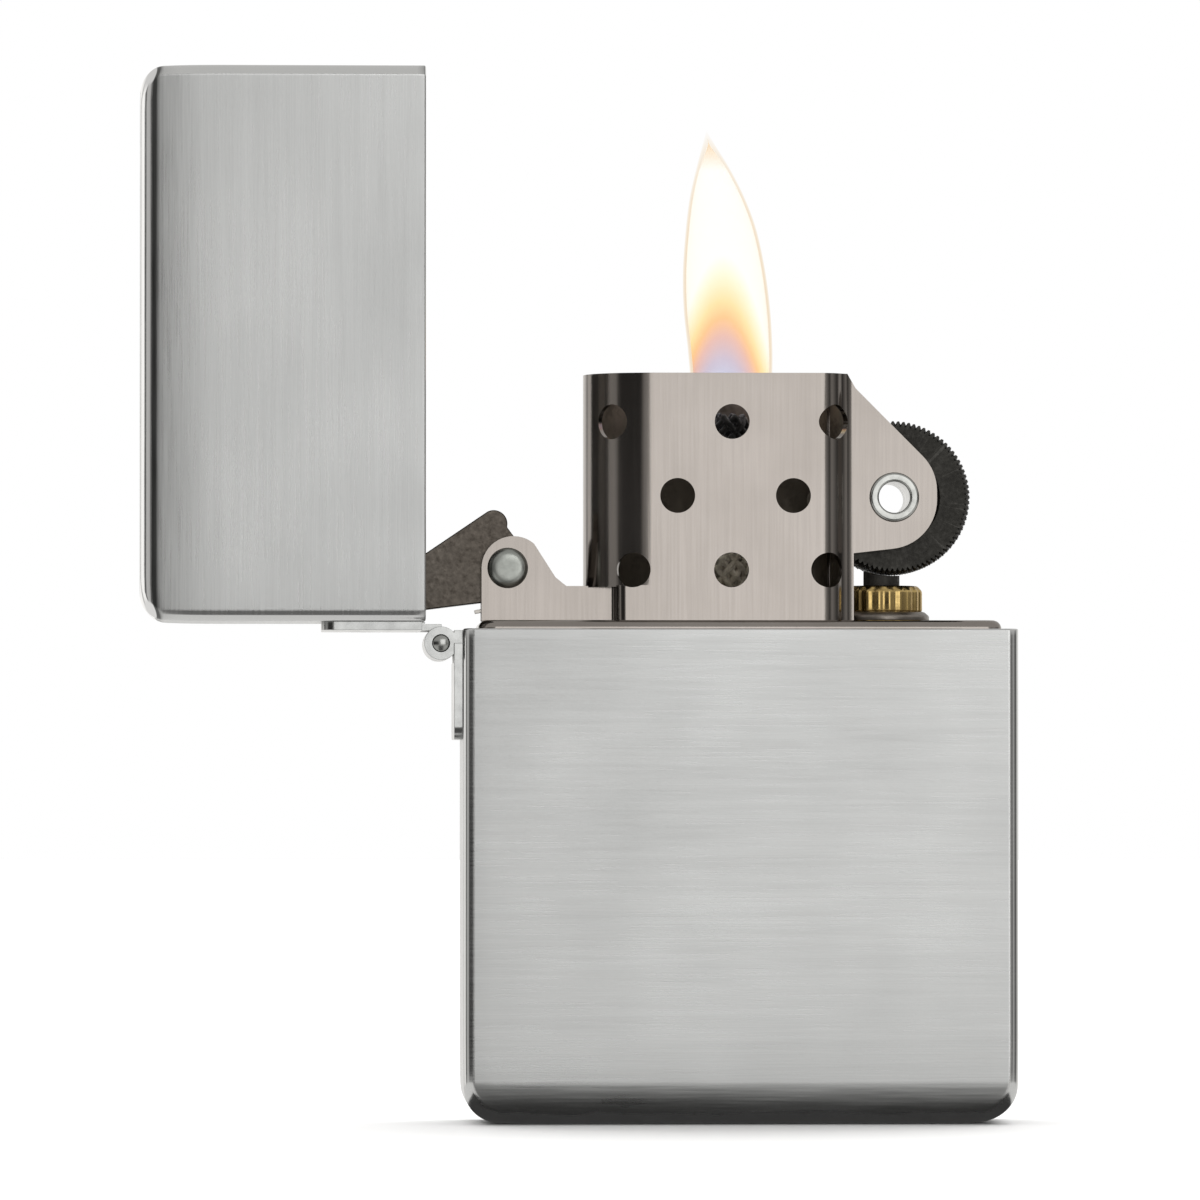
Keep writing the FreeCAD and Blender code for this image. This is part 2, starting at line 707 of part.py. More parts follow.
def flint_plunger():
    """The tip that the spring presses up against the flint."""
    stem_bottom = plunger_head_bottom() - PLUNGER_STEM_LENGTH
    points = [
        (0, stem_bottom),
        (PLUNGER_STEM_RADIUS, stem_bottom),
        (PLUNGER_STEM_RADIUS, plunger_head_bottom()),
        (PLUNGER_HEAD_RADIUS, plunger_head_bottom()),
        (PLUNGER_HEAD_RADIUS, FLINT_BOTTOM),
        (0, FLINT_BOTTOM),
    ]
    return turned_profile(points, FLINT_X)


def flint_spring():
    """A long coil between the screw and the plunger."""
    low = SCREW_TOP + COIL_WIRE_RADIUS + PART_GAP
    high = plunger_head_bottom() - COIL_WIRE_RADIUS - PART_GAP
    helix = Part.makeHelix(COIL_PITCH, high - low, COIL_RADIUS)
    section = Part.Wire(Part.makeCircle(COIL_WIRE_RADIUS, vec(COIL_RADIUS, 0, 0), ALONG_Y))
    coil = Part.Wire(helix).makePipeShell([section], True, True)
    coil.translate(vec(FLINT_X, 0, low))
    return coil


def flint_screw():
    """The screw that closes the tube and carries the spring, slotted for a coin."""
    head_top = TUBE_BOTTOM - PART_GAP
    points = [(0, SCREW_HEAD_BOTTOM), (SCREW_HEAD_RADIUS, SCREW_HEAD_BOTTOM)]
    points += [(SCREW_HEAD_RADIUS, head_top), (SCREW_RADIUS, head_top)]
    height = head_top + SCREW_THREAD_PITCH
    while height < SCREW_TOP - SCREW_THREAD_PITCH:
        points.append((SCREW_RADIUS, height))
        points.append((SCREW_RADIUS - SCREW_THREAD_DEPTH, height + SCREW_THREAD_PITCH / 2))
        height += SCREW_THREAD_PITCH
    points += [(SCREW_RADIUS, SCREW_TOP - SCREW_THREAD_DEPTH)]
    points += [(SCREW_RADIUS - SCREW_THREAD_DEPTH, SCREW_TOP), (0, SCREW_TOP)]
    screw = turned_profile(points, FLINT_X)
    slot = box(
        (FLINT_X - SCREW_SLOT_WIDTH / 2, -WIDE, 0),
        (FLINT_X + SCREW_SLOT_WIDTH / 2, WIDE, SCREW_HEAD_BOTTOM + SCREW_SLOT_DEPTH),
    )
    return screw.cut(slot)


def wick():
    stick = rod_z(WICK_RADIUS, WICK_X, WICK_BOTTOM, WICK_TOP)
    return fillet_edges(stick, WICK_RADIUS / 3, lambda edge: at_height(edge, WICK_TOP))


def soft_block(low, high):
    """A block of soft filling that leaves a little room to the tank's walls."""
    half_x = TANK_HALF_WIDTH - TANK_WALL - SOFT_SIDE_GAP
    half_y = TANK_HALF_DEPTH - TANK_WALL - SOFT_SIDE_GAP
    return upright_box((-half_x, -half_y, low), (half_x, half_y, high), SOFT_CORNER)


def cotton_packing():
    """Wads of cotton stacked from the felt to the tank's top, round the tube and the wick."""
    low = FELT_HIGH + WAD_GAP
    rivet_room = 1.0
    high = TANK_TOP - TANK_WALL - rivet_room
    pitch = (high - low) / WADS
    tube_room = rod_z(TUBE_RADIUS + SOFT_SIDE_GAP, FLINT_X, 0, 2 * WIDE)
    wick_room = rod_z(WICK_RADIUS + PART_GAP, WICK_X, WICK_BOTTOM - PART_GAP, 2 * WIDE)
    wads = []
    for number in range(WADS):
        bottom = low + number * pitch
        wad = soft_block(bottom, bottom + pitch - WAD_GAP)
        wads.append(wad.cut(tube_room).cut(wick_room))
    return Part.makeCompound(wads)


def felt_pad():
    hole = rod_z(SCREW_HEAD_RADIUS + 2 * PART_GAP, FLINT_X, 0, 2 * WIDE)
    return soft_block(FELT_LOW, FELT_HIGH).cut(hole)


PARTS = {
    "case_bottom": lambda: can_shell(CASE_HEIGHT, CASE_END_RADIUS_FRONT, CASE_END_RADIUS_SIDE),
    "case_hinge_leaf": case_hinge_leaf,
    "hinge_pin": hinge_pin,
    "lid_shell": lid_shell,
    "lid_hinge_leaf": lid_hinge_leaf,
    "insert_tank": insert_tank,
    "chimney": chimney,
    "wheel_axle": wheel_axle,
    "flint_wheel": flint_wheel,
    "cam": cam,
    "cam_rivet": cam_rivet,
    "cam_spring": cam_spring,
    "cam_spring_rivet": cam_spring_rivet,
    "flint_tube": flint_tube,
    "flint_tube_collar": flint_tube_collar,
    "flint": flint,
    "flint_plunger": flint_plunger,
    "flint_spring": flint_spring,
    "flint_screw": flint_screw,
    "wick": wick,
    "cotton_packing": cotton_packing,
    "felt_pad": felt_pad,
}

os.makedirs("parts", exist_ok=True)
for name, make in PARTS.items():
    shape = make()
    shape.exportStep(f"parts/{name}.step")
    print(f"{name}: {len(shape.Solids)} solid, {shape.Volume:.2f} mm3, valid {shape.isValid()}")
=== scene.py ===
import math
from collections import namedtuple

import bmesh
import bpy
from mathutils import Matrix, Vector, noise


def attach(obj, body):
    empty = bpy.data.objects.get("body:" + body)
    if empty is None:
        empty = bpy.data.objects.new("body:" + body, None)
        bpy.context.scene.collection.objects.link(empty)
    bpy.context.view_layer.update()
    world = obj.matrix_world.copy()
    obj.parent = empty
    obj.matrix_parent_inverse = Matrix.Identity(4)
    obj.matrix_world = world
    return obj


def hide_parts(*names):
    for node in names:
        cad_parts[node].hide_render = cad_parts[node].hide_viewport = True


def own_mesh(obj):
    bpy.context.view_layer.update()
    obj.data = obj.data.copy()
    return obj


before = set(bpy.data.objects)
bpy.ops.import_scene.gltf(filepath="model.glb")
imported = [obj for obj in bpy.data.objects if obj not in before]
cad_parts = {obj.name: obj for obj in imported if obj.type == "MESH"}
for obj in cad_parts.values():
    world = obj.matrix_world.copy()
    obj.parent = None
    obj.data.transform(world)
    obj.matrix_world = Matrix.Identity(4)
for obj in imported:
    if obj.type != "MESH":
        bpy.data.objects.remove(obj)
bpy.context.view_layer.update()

# Lengths below are in millimetres, and MM turns them into Blender's metres.
MM = 0.001
X, Y, Z = 0, 1, 2

# Drawn case and lid
CASE_WIDTH = 38.1
CASE_DEPTH = 12.7
CASE_HEIGHT = 34.0
LID_HEIGHT = 19.6
CASE_WALL = 0.7
PLAN_CORNER = 0.8
RIM_ROUND = 0.12
# The closed end of a drawn can: its radii as seen from the front and from the side, how far the
# plan corners open out there, and how the walls lean in before the radius starts
CanEnd = namedtuple("CanEnd", "front side plan_corner lean_length lean lean_power")
CASE_END = CanEnd(2.6, 3.0, 2.4, 7.0, 0.14, 2)
LID_END = CanEnd(1.7, 1.3, 1.6, 6.5, 0.32, 3)
WAVE_DEPTH = 0.012
WAVE_LENGTH = 4.5
END_STEPS = 18
WALL_STEP = 0.8
CORNER_STEPS = 8
LONG_SIDE_STEPS = 30
SHORT_SIDE_STEPS = 5
LID_GAP = 0.06
PIN_X = -CASE_WIDTH / 2 - 1.5
PIN_Z = CASE_HEIGHT - 1.0
PIN_RADIUS = 0.6
PIN_HALF = 4.8

# Turned and cut pieces on the insert
TANK_TOP = CASE_HEIGHT + 0.6
CHIMNEY_LEFT = -10.65
CHIMNEY_RIGHT = 8.2
CHIMNEY_HALF_DEPTH = 4.65
WHEEL_X = 10.7
WHEEL_Z = CASE_HEIGHT + 9.1
WHEEL_RADIUS = 5.3
WHEEL_HALF_WIDTH = 2.7
WHEEL_BORE = 1.47
WHEEL_TEETH = 88
TOOTH_DEPTH = 0.3
TOOTH_LEAN = 0.35
WHEEL_RINGS_PER_TOOTH = 8
WHEEL_ROWS = 22
AXLE_RADIUS = 1.4
AXLE_BORE = 1.075
AXLE_FLANGE = 1.75
AXLE_FLANGE_HEIGHT = 0.25
EAR_HALF_DEPTH = 3.25
CAM_X = -15.9
CAM_Z = CASE_HEIGHT + 4.24
CAM_EAR_HALF_DEPTH = 1.65
CAM_RIVET_HEAD = 1.4
CAM_RIVET_DOME = 0.45
CAM_RIVET_SHANK = 0.6
CAM_RIVET_FLATNESS = 7.0
SPRING_RIVET_X = -12.1
FLINT_X = 10.03
TUBE_RADIUS = 1.75
TUBE_BORE = 1.32
TUBE_BOTTOM = 3.5
FERRULE_RADIUS = 2.82
FERRULE_BOTTOM = CASE_HEIGHT + 1.25
FERRULE_TOP = CASE_HEIGHT + 3.04
RIBS = 22
RIB_STEPS = 8
RIB_DEPTH = 0.12
RIB_ROOM = 0.25
COLLAR_RADIUS = 3.3
FLINT_BOTTOM = CASE_HEIGHT - 1.2
PLUNGER_HEAD = 1.25
PLUNGER_HEAD_HEIGHT = 1.1
PLUNGER_STEM = 0.5
PLUNGER_STEM_LENGTH = 4.6
COIL_RADIUS = 0.9
WIRE_RADIUS = 0.17
COIL_LOW = 7.2
COIL_HIGH = 31.5
COIL_TURNS = 20
CLOSED_TURNS = 3
TURN_STEPS = 28

# Wick, cotton and felt
WICK_X = -0.6
WICK_RADIUS = 1.5
WICK_BOTTOM = 9.0
WICK_TOP = CASE_HEIGHT + 15.0
STRANDS_EACH_WAY = 8
STRAND_RADIUS = 0.24
STRAND_STEPS = 230
BRAID_PITCH = 9.0
BRAID_MIDDLE = WICK_RADIUS - STRAND_RADIUS * 2.05
TANK_HALF_WIDTH = 18.0
TANK_HALF_DEPTH = 5.45
TANK_WALL = 0.4
SOFT_GAP = 0.25
FELT_LOW = 2.5
FELT_HIGH = 5.0
SCREW_HEAD_RADIUS = 2.3
WADS = 4
WAD_GAP = 0.2
PACKING_HIGH = TANK_TOP - TANK_WALL - 1.0

# Studio
CAMERA_DISTANCE = 600.0
CAMERA_AZIMUTH = -2.1
CAMERA_ELEVATION = -1.2
FRAME_WIDTH = 83.0
FRAME_CENTRE = (-9.47, 0.0, 36.07)
SENSOR_WIDTH = 36.0
BOX_DIRECTION = (12.5, 10.0)
BOX_DISTANCE = 1000.0
BOX_SIZE = (540.0, 560.0)
BOX_RADIANCE = 1.2
FLOOR_SIZE = 4000.0
CARD_MARGIN = 1.2
CARD_DROP = 0.05
# How bright the room is round the object, by angle from straight in front, left being negative
ROOM_LEVELS = (
    (-180, 1.0), (-151, 0.95), (-142, 0.3), (-134, 0.9), (-106, 1.0), (-99, 0.08), (-91, 0.10),
    (-86, 0.45), (-64, 0.40), (-57, 0.05), (-17, 0.04), (-12, 0.4), (12, 0.6), (30, 0.45),
    (40, 0.25), (50, 0.06), (62, 0.40), (84, 0.16), (98, 0.05), (110, 0.45), (128, 0.8), (180, 1.0),
)
# By height of the direction, from straight down (0) over level (0.5) to straight up (1)
CEILING_SHARE = ((0.0, 0.0), (0.57, 0.0), (0.65, 1.0), (1.0, 1.0))
TABLE_SHARE = ((0.0, 1.0), (0.39, 1.0), (0.44, 0.0), (1.0, 0.0))
FLAG_SHARE = ((0.0, 0.0), (0.05, 0.0), (0.08, 0.95), (0.36, 0.95), (0.40, 0.0), (1.0, 0.0))
FLAG_WIDTH = ((0.0, 0.0), (0.44, 0.0), (0.465, 1.0), (0.535, 1.0), (0.56, 0.0), (1.0, 0.0))
CEILING_LEVEL = 0.6
TABLE_LEVEL = 0.7
FLAG_LEVEL = 0.1

# Flame, with its outline as (height, across) knots from the wick to the tip
FLAME_LEFT = (
    (49.0, -3.0), (53.5, -3.4), (56.1, -3.67), (58.8, -3.73), (61.7, -3.53), (64.0, -3.24),
    (66.2, -2.74), (68.6, -2.1),
)
FLAME_RIGHT = (
    (49.0, 2.2), (51.9, 2.48), (55.0, 2.42), (57.7, 2.16), (60.1, 1.76), (62.2, 1.23),
    (64.2, 0.44), (66.0, -0.49), (67.5, -1.42), (68.6, -2.1),
)
FLAME_LOW = 49.8
FLAME_HIGH = 68.6
FLAME_TIP_START = 65.8
FLAME_THICKNESS = 0.62
FLAME_WALL = 0.2
FLAME_ROWS = 90
FLAME_STEPS = 48
FLAME_COLOURS = (
    (0.0, (0.50, 0.56, 0.78)),
    (0.18, (0.56, 0.48, 0.62)),
    (0.36, (0.78, 0.47, 0.41)),
    (0.50, (0.98, 0.55, 0.24)),
    (0.64, (1.0, 0.76, 0.36)),
    (0.82, (1.0, 0.92, 0.66)),
    (1.0, (1.0, 1.0, 0.97)),
)

# Finish
LATHE_STEPS = 96
SMALL_LATHE_STEPS = 48
WELD = 0.0005
FLAT_ANGLE = 0.6
LEVEL_ANGLE = 0.2
LEVEL_SHARE = 0.01
SHARP_ANGLE = 35.0
EDGE_BRIGHTNESS = 1.15
EDGE_SMOOTHNESS = 0.85


def slotted(obj, slot, *materials):
    obj.data.materials.clear()
    for material in materials:
        obj.data.materials.append(material)
    return obj


def new_object(name, points, faces):
    """A smooth mesh object from points in millimetres, with its faces pointing outwards."""
    mesh = bpy.data.meshes.new(name)
    mesh.from_pydata([[MM * value for value in point] for point in points], [], faces)
    mesh.validate()
    mesh.shade_smooth()
    work = bmesh.new()
    work.from_mesh(mesh)
    bmesh.ops.recalc_face_normals(work, faces=work.faces)
    work.to_mesh(mesh)
    work.free()
    obj = bpy.data.objects.new(name, mesh)
    bpy.context.scene.collection.objects.link(obj)
    return obj


def turns(steps):
    """Evenly spaced angles once round."""
    return [2 * math.pi * step / steps for step in range(steps)]


def next_ring(points, steps):
    """The numbers of the points that are added next."""
    return list(range(len(points), len(points) + steps))


def joined(rings, closed=False):
    """Faces from each ring of point numbers to the next, and from the last to the first if closed."""
    faces = []
    for low, high in zip(rings, rings[1:] + (rings[:1] if closed else [])):
        for step in range(len(low)):
            after = (step + 1) % len(low)
            corners = dict.fromkeys((low[step], low[after], high[after], high[step]))
            if len(corners) > 2:
                faces.append(list(corners))
    return faces


def capped(rings):
    """The rings joined, with a face over each end."""
    return joined(rings) + [list(reversed(rings[0])), rings[-1]]


def bake_modifiers(obj):
    """Make what the modifiers show the mesh itself."""
    graph = bpy.context.evaluated_depsgraph_get()
    shown = bpy.data.meshes.new_from_object(obj.evaluated_get(graph))
    obj.modifiers.clear()
    obj.data = shown
    return obj


def even_shading(obj, weight):
    """Let the large flat faces decide how the surface is shaded."""
    obj.modifiers.new("flats", "WEIGHTED_NORMAL").weight = weight
    return bake_modifiers(obj)


def soften_edges(obj, width):
    """Round the sharp edges a little, as on any stamped piece. The rounds get the second material."""
    bevel = obj.modifiers.new("edges", "BEVEL")
    bevel.width = width * MM
    bevel.segments = 2
    bevel.limit_method = "ANGLE"
    bevel.angle_limit = math.radians(SHARP_ANGLE)
    bevel.miter_outer = "MITER_ARC"
    bevel.use_clamp_overlap = True
    bevel.material = 1
    return true_flats(bake_modifiers(obj))


def flat_regions(work):
    """The faces of every level region that holds a fair share of the piece's whole area."""
    smallest = LEVEL_SHARE * sum(face.calc_area() for face in work.faces)
    level = math.cos(math.radians(LEVEL_ANGLE))
    seen, flats = set(), set()
    for start in work.faces:
        if start.index in seen:
            continue
        region, waiting = [], [start]
        seen.add(start.index)
        while waiting:
            face = waiting.pop()
            region.append(face)
            for edge in face.edges:
                for other in edge.link_faces:
                    if other.index not in seen and other.normal.dot(start.normal) > level:
                        seen.add(other.index)
                        waiting.append(other)
        if sum(face.calc_area() for face in region) > smallest:
            flats.update(face.index for face in region)
    return flats


def true_flats(obj):
    """Shade level faces dead flat, and let the rounded edges beside them take up all the turn."""
    work = bmesh.new()
    work.from_mesh(obj.data)
    work.faces.ensure_lookup_table()
    flats = flat_regions(work)
    same_side = math.cos(math.radians(50))
    flat_weight = 1e6
    normals = []
    for face in work.faces:
        for loop in face.loops:
            if face.index in flats:
                normals.append(face.normal.copy())
                continue
            total = Vector()
            for other in loop.vert.link_faces:
                if other.normal.dot(face.normal) >= same_side:
                    weight = flat_weight if other.index in flats else 1.0
                    total += other.normal * other.calc_area() * weight
            normals.append(total.normalized() if total.length > 0 else face.normal.copy())
    work.free()
    obj.data.normals_split_custom_set(normals)
    return obj


def refined(node, name, body, edge, finish, slot):
    """A finished piece on a CAD node's own shape: welded, its edges rounded."""
    obj = bpy.data.objects.new(name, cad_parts[node].data.copy())
    bpy.context.scene.collection.objects.link(obj)
    slotted(obj, slot, *finish)
    work = bmesh.new()
    work.from_mesh(obj.data)
    for face in work.faces:
        face.material_index = 0
    bmesh.ops.remove_doubles(work, verts=work.verts, dist=WELD * MM)
    bmesh.ops.dissolve_limit(
        work, angle_limit=math.radians(FLAT_ANGLE), verts=work.verts, edges=work.edges
    )
    bmesh.ops.recalc_face_normals(work, faces=work.faces)
    work.to_mesh(obj.data)
    work.free()
    obj.data.shade_smooth()
    soften_edges(obj, edge)
    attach(obj, body)
    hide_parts(node)
    return obj


def finished(obj, body, material, slot, *nodes):
    slotted(obj, slot, material)
    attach(obj, body)
    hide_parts(*nodes)
    return obj


# --- outlines ---


def rounded_corners(points, radius, steps=4):
    """A closed outline of (across, along) points with each corner rounded by an arc-like curve."""
    result = []
    for number in range(len(points)):
        before, here, after = (Vector(points[(number + step) % len(points)]) for step in (-1, 0, 1))
        to_before, to_after = before - here, after - here
        reach = min(radius, to_before.length / 2.2, to_after.length / 2.2)
        start = here + to_before.normalized() * reach
        end = here + to_after.normalized() * reach
        for step in range(steps + 1):
            share = step / steps
            result.append(tuple(start.lerp(here, share).lerp(here.lerp(end, share), share)))
    return result


def lathe(name, outline, centre, axis, steps=LATHE_STEPS):
    """A turned piece: outline holds (radius, along) points of a closed loop, or one that ends on
    the axis at both ends. The axis is upright (Z) or runs from front to back (Y) through the
    centre, which is given as (across, height)."""
    points, rings = [], []
    for radius, along in outline:
        if radius == 0:
            rings.append([len(points)] * steps)
            points.append((0, 0, along))
            continue
        rings.append(next_ring(points, steps))
        points += [(radius * math.cos(turn), radius * math.sin(turn), along) for turn in turns(steps)]
    if axis == Y:
        points = [(x, z, y) for x, y, z in points]
    points = [(centre[0] + x, y, centre[1] + z) for x, y, z in points]
    obj = new_object(name, points, joined(rings, closed=outline[0][0] > 0))
    return even_shading(obj, 80)


def ribbed_ferrule(tube):
    """Press upright ribs into the outside of the tube's ferrule."""
    for vertex in tube.data.vertices:
        across, deep, high = vertex.co / MM
        across -= FLINT_X
        radius = math.hypot(across, deep)
        outside = radius > FERRULE_RADIUS - RIB_ROOM and FERRULE_BOTTOM < high < FERRULE_TOP
        if outside:
            turn = math.atan2(deep, across)
            share = 1 - RIB_DEPTH * (0.5 - 0.5 * math.cos(RIBS * turn)) / radius
            vertex.co.x = (FLINT_X + across * share) * MM
            vertex.co.y = deep * share * MM
    return tube


# --- case and lid ---


def rounded_rectangle(half_width, half_depth, corner):
    """A ring of points, anticlockwise from above, with the same count for every size."""
    corner = max(min(corner, half_width - 0.01, half_depth - 0.01), 0.02)
    across, deep = half_width - corner, half_depth - corner
    arcs = []
    for number, (x, y) in enumerate(((across, deep), (-across, deep), (-across, -deep), (across, -deep))):
        arc = []
        for step in range(CORNER_STEPS + 1):
            turn = math.radians(90 * number + 90 * step / CORNER_STEPS)
            arc.append(Vector((x + corner * math.cos(turn), y + corner * math.sin(turn))))
        arcs.append(arc)
    ring = []
    for number, arc in enumerate(arcs):
        following = arcs[(number + 1) % 4][0]
        steps = LONG_SIDE_STEPS if number % 2 == 0 else SHORT_SIDE_STEPS
        ring += arc
        ring += [arc[-1].lerp(following, step / steps) for step in range(1, steps)]
    return ring


def drawn_in(height, radius):
    """How far an end radius has drawn the wall in, at a height above the closed end."""
    if height >= radius:
        return 0.0
    return radius - math.sqrt(max(radius**2 - (radius - height) ** 2, 0.0))


def leaning_in(height, end):
    """The last millimetres of the walls lean in by a hair before the end radius starts."""
    if height >= end.lean_length:
        return 0.0
    return end.lean * (1 - height / end.lean_length) ** end.lean_power


def can_section(height, inset, end):
    """The ring of the can's wall at a height, inset from its outside."""
    above = height - inset
    lean = leaning_in(height, end)
    half_width = CASE_WIDTH / 2 - inset - drawn_in(above, end.front - inset) - lean / 2
    half_depth = CASE_DEPTH / 2 - inset - drawn_in(above, end.side - inset) - lean
    closeness = max(0.0, 1 - above / end.side)
    corner = PLAN_CORNER - inset / 2 + (end.plan_corner - PLAN_CORNER) * closeness**1.5
    return half_width, half_depth, corner


def can_rings(total, end):
    """(height, inset) of every ring, from the middle of the outside end round to the inside end."""
    reach = max(end.front, end.side)
    rise = [1 - math.cos(math.pi / 2 * step / END_STEPS) for step in range(END_STEPS + 1)]
    top = total - RIM_ROUND
    steps = round((top - reach) / WALL_STEP)
    rings = [(reach * share, 0.0) for share in rise]
    rings += [(reach + (top - reach) * step / steps, 0.0) for step in range(1, steps + 1)]
    for turn in (30, 60, 90):
        angle = math.radians(turn)
        rings.append((top + RIM_ROUND * math.sin(angle), RIM_ROUND * (1 - math.cos(angle))))
    for turn in (90, 60, 30, 0):
        angle = math.radians(turn)
        inset = CASE_WALL - RIM_ROUND * (1 - math.cos(angle))
        rings.append((top + RIM_ROUND * math.sin(angle), inset))
    rings += [(CASE_WALL + (reach - CASE_WALL) * share, CASE_WALL) for share in reversed(rise)]
    return rings


def hand_wave(x, y, z, seed):
    """A slow unevenness of pressed sheet, in millimetres."""
    place = Vector((x, y, z)) / WAVE_LENGTH + Vector((seed, 0, 0))
    return WAVE_DEPTH * noise.noise(place)


def drawn_can(name, total, end, seed, place):
    """A drawn can with a rounded closed end, even walls and a rounded rim.

    place turns a point of the can, which stands on its closed end, into the row frame.
    """
    points, rings = [], []
    for height, inset in can_rings(total, end):
        outline = rounded_rectangle(*can_section(height, inset, end))
        rings.append(next_ring(points, len(outline)))
        for x, y in outline:
            dip = abs(hand_wave(x, y, height, seed)) if inset == 0 and height < total - 1 else 0
            points.append(place(x, y * (1 - dip / CASE_DEPTH * 2), height))
    return even_shading(new_object(name, points, capped(rings)), 60)


def standing(x, y, z):
    return (x, y, z)


def opened_lid(x, y, z):
    """Turn the lid over onto the case and swing it open about the hinge pin."""
    closed_x = -x
    closed_z = CASE_HEIGHT + LID_GAP + LID_HEIGHT - z
    return (PIN_X - (closed_z - PIN_Z), y, PIN_Z + (closed_x - PIN_X))


# --- flint wheel ---


def tooth_height(turn, across):
    """0 at a tooth's root and 1 on its crest, for slanted teeth crossed by finer ones."""
    lean = TOOTH_LEAN * across / WHEEL_HALF_WIDTH
    main = (turn * WHEEL_TEETH / (2 * math.pi) + lean * 2) % 1
    cross = (turn * WHEEL_TEETH / (2 * math.pi) - lean * 6) % 1
    ridge = 1 - abs(2 * main - 1)
    nick = 1 - abs(2 * cross - 1)
    return min(1.0, 1.5 * ridge) * (0.72 + 0.28 * min(1.0, 1.8 * nick))


def toothed_wheel(name):
    """The flint wheel: chisel-like teeth on the rim, flat turned sides and a bore."""
    side_round, recess, chamfer, end_share = 0.22, 0.12, 0.05, 0.75
    side = WHEEL_HALF_WIDTH
    near_side = (
        (WHEEL_BORE, -side + recess + chamfer), (WHEEL_BORE + chamfer, -side + recess),
        (3.05, -side + recess), (3.2, -side), (4.6, -side), (4.93, -side),
    )
    rows = [(across, radius, 0.0) for radius, across in near_side]
    for number in range(WHEEL_ROWS + 1):
        across = -side + 2 * side * number / WHEEL_ROWS
        from_edge = side - abs(across)
        drop = side_round * max(0.0, 1 - from_edge / side_round) ** 2
        rows.append((across, WHEEL_RADIUS - drop, 1.0 if from_edge > 1e-6 else end_share))
    rows += [(-across, radius, 0.0) for radius, across in reversed(near_side)]
    steps = WHEEL_TEETH * WHEEL_RINGS_PER_TOOTH
    points, rings = [], []
    for across, radius, share in rows:
        rings.append(next_ring(points, steps))
        for turn in turns(steps):
            reach = radius - TOOTH_DEPTH * share * (1 - tooth_height(turn, across))
            points.append((WHEEL_X + reach * math.cos(turn), across, WHEEL_Z + reach * math.sin(turn)))
    obj = new_object(name, points, joined(rings, closed=True))
    obj.data.set_sharp_from_angle(angle=math.radians(38))
    return obj


# --- turned pieces ---


def axle_outline():
    end = EAR_HALF_DEPTH + AXLE_FLANGE_HEIGHT
    outline = [
        (AXLE_BORE, -end), (AXLE_FLANGE - 0.12, -end), (AXLE_FLANGE, -EAR_HALF_DEPTH),
        (AXLE_RADIUS, -EAR_HALF_DEPTH), (AXLE_RADIUS, EAR_HALF_DEPTH),
        (AXLE_FLANGE, EAR_HALF_DEPTH), (AXLE_FLANGE - 0.12, end), (AXLE_BORE, end),
    ]
    return rounded_corners(outline, 0.16, 5)


def cam_rivet_outline():
    """A solid shank with a domed head at each end."""
    half, steps, head_edge = CAM_EAR_HALF_DEPTH, 24, 0.03
    outline = []
    for step in range(steps + 1):
        share = math.sin(math.pi / 2 * step / steps)
        rise = CAM_RIVET_DOME * (1 - share**CAM_RIVET_FLATNESS)
        outline.append((CAM_RIVET_HEAD * share, -half - rise))
    outline += [(CAM_RIVET_HEAD - head_edge, -half), (CAM_RIVET_SHANK, -half)]
    return outline + [(radius, -along) for radius, along in reversed(outline)]


def spring_rivet_outline():
    under = TANK_TOP - TANK_WALL
    above = TANK_TOP + 0.25
    return [
        (0, under - 0.35), (0.7, under - 0.35), (0.85, under - 0.22), (0.85, under), (0.5, under),
        (0.5, above), (0.85, above), (0.85, above + 0.15), (0.72, above + 0.29),
        (0.4, above + 0.35), (0, above + 0.35),
    ]


def tube_outline():
    outline = [
        (TUBE_BORE, TUBE_BOTTOM), (TUBE_RADIUS, TUBE_BOTTOM), (TUBE_RADIUS, FERRULE_BOTTOM),
        (FERRULE_RADIUS, FERRULE_BOTTOM), (FERRULE_RADIUS, FERRULE_TOP - 0.35),
        (FERRULE_RADIUS - 0.35, FERRULE_TOP), (TUBE_BORE + 0.25, FERRULE_TOP),
        (TUBE_BORE, FERRULE_TOP - 0.3),
    ]
    return rounded_corners(outline, 0.14)


def collar_outline():
    inside = TUBE_RADIUS + 0.01
    outline = [
        (inside, TANK_TOP), (COLLAR_RADIUS, TANK_TOP), (COLLAR_RADIUS, TANK_TOP + 0.35),
        (COLLAR_RADIUS - 0.35, FERRULE_BOTTOM), (inside, FERRULE_BOTTOM),
    ]
    return rounded_corners(outline, 0.12)


def plunger_outline():
    head = FLINT_BOTTOM - PLUNGER_HEAD_HEIGHT
    stem = head - PLUNGER_STEM_LENGTH
    return [
        (0, stem), (PLUNGER_STEM - 0.12, stem), (PLUNGER_STEM, stem + 0.12), (PLUNGER_STEM, head),
        (PLUNGER_HEAD - 0.1, head), (PLUNGER_HEAD, head + 0.1), (PLUNGER_HEAD, FLINT_BOTTOM - 0.15),
        (PLUNGER_HEAD - 0.15, FLINT_BOTTOM), (0, FLINT_BOTTOM),
    ]


def pin_outline():
    return [
        (0, -PIN_HALF), (PIN_RADIUS - 0.1, -PIN_HALF), (PIN_RADIUS, -PIN_HALF + 0.1),
        (PIN_RADIUS, PIN_HALF - 0.1), (PIN_RADIUS - 0.1, PIN_HALF), (0, PIN_HALF),
    ]


# --- swept pieces ---


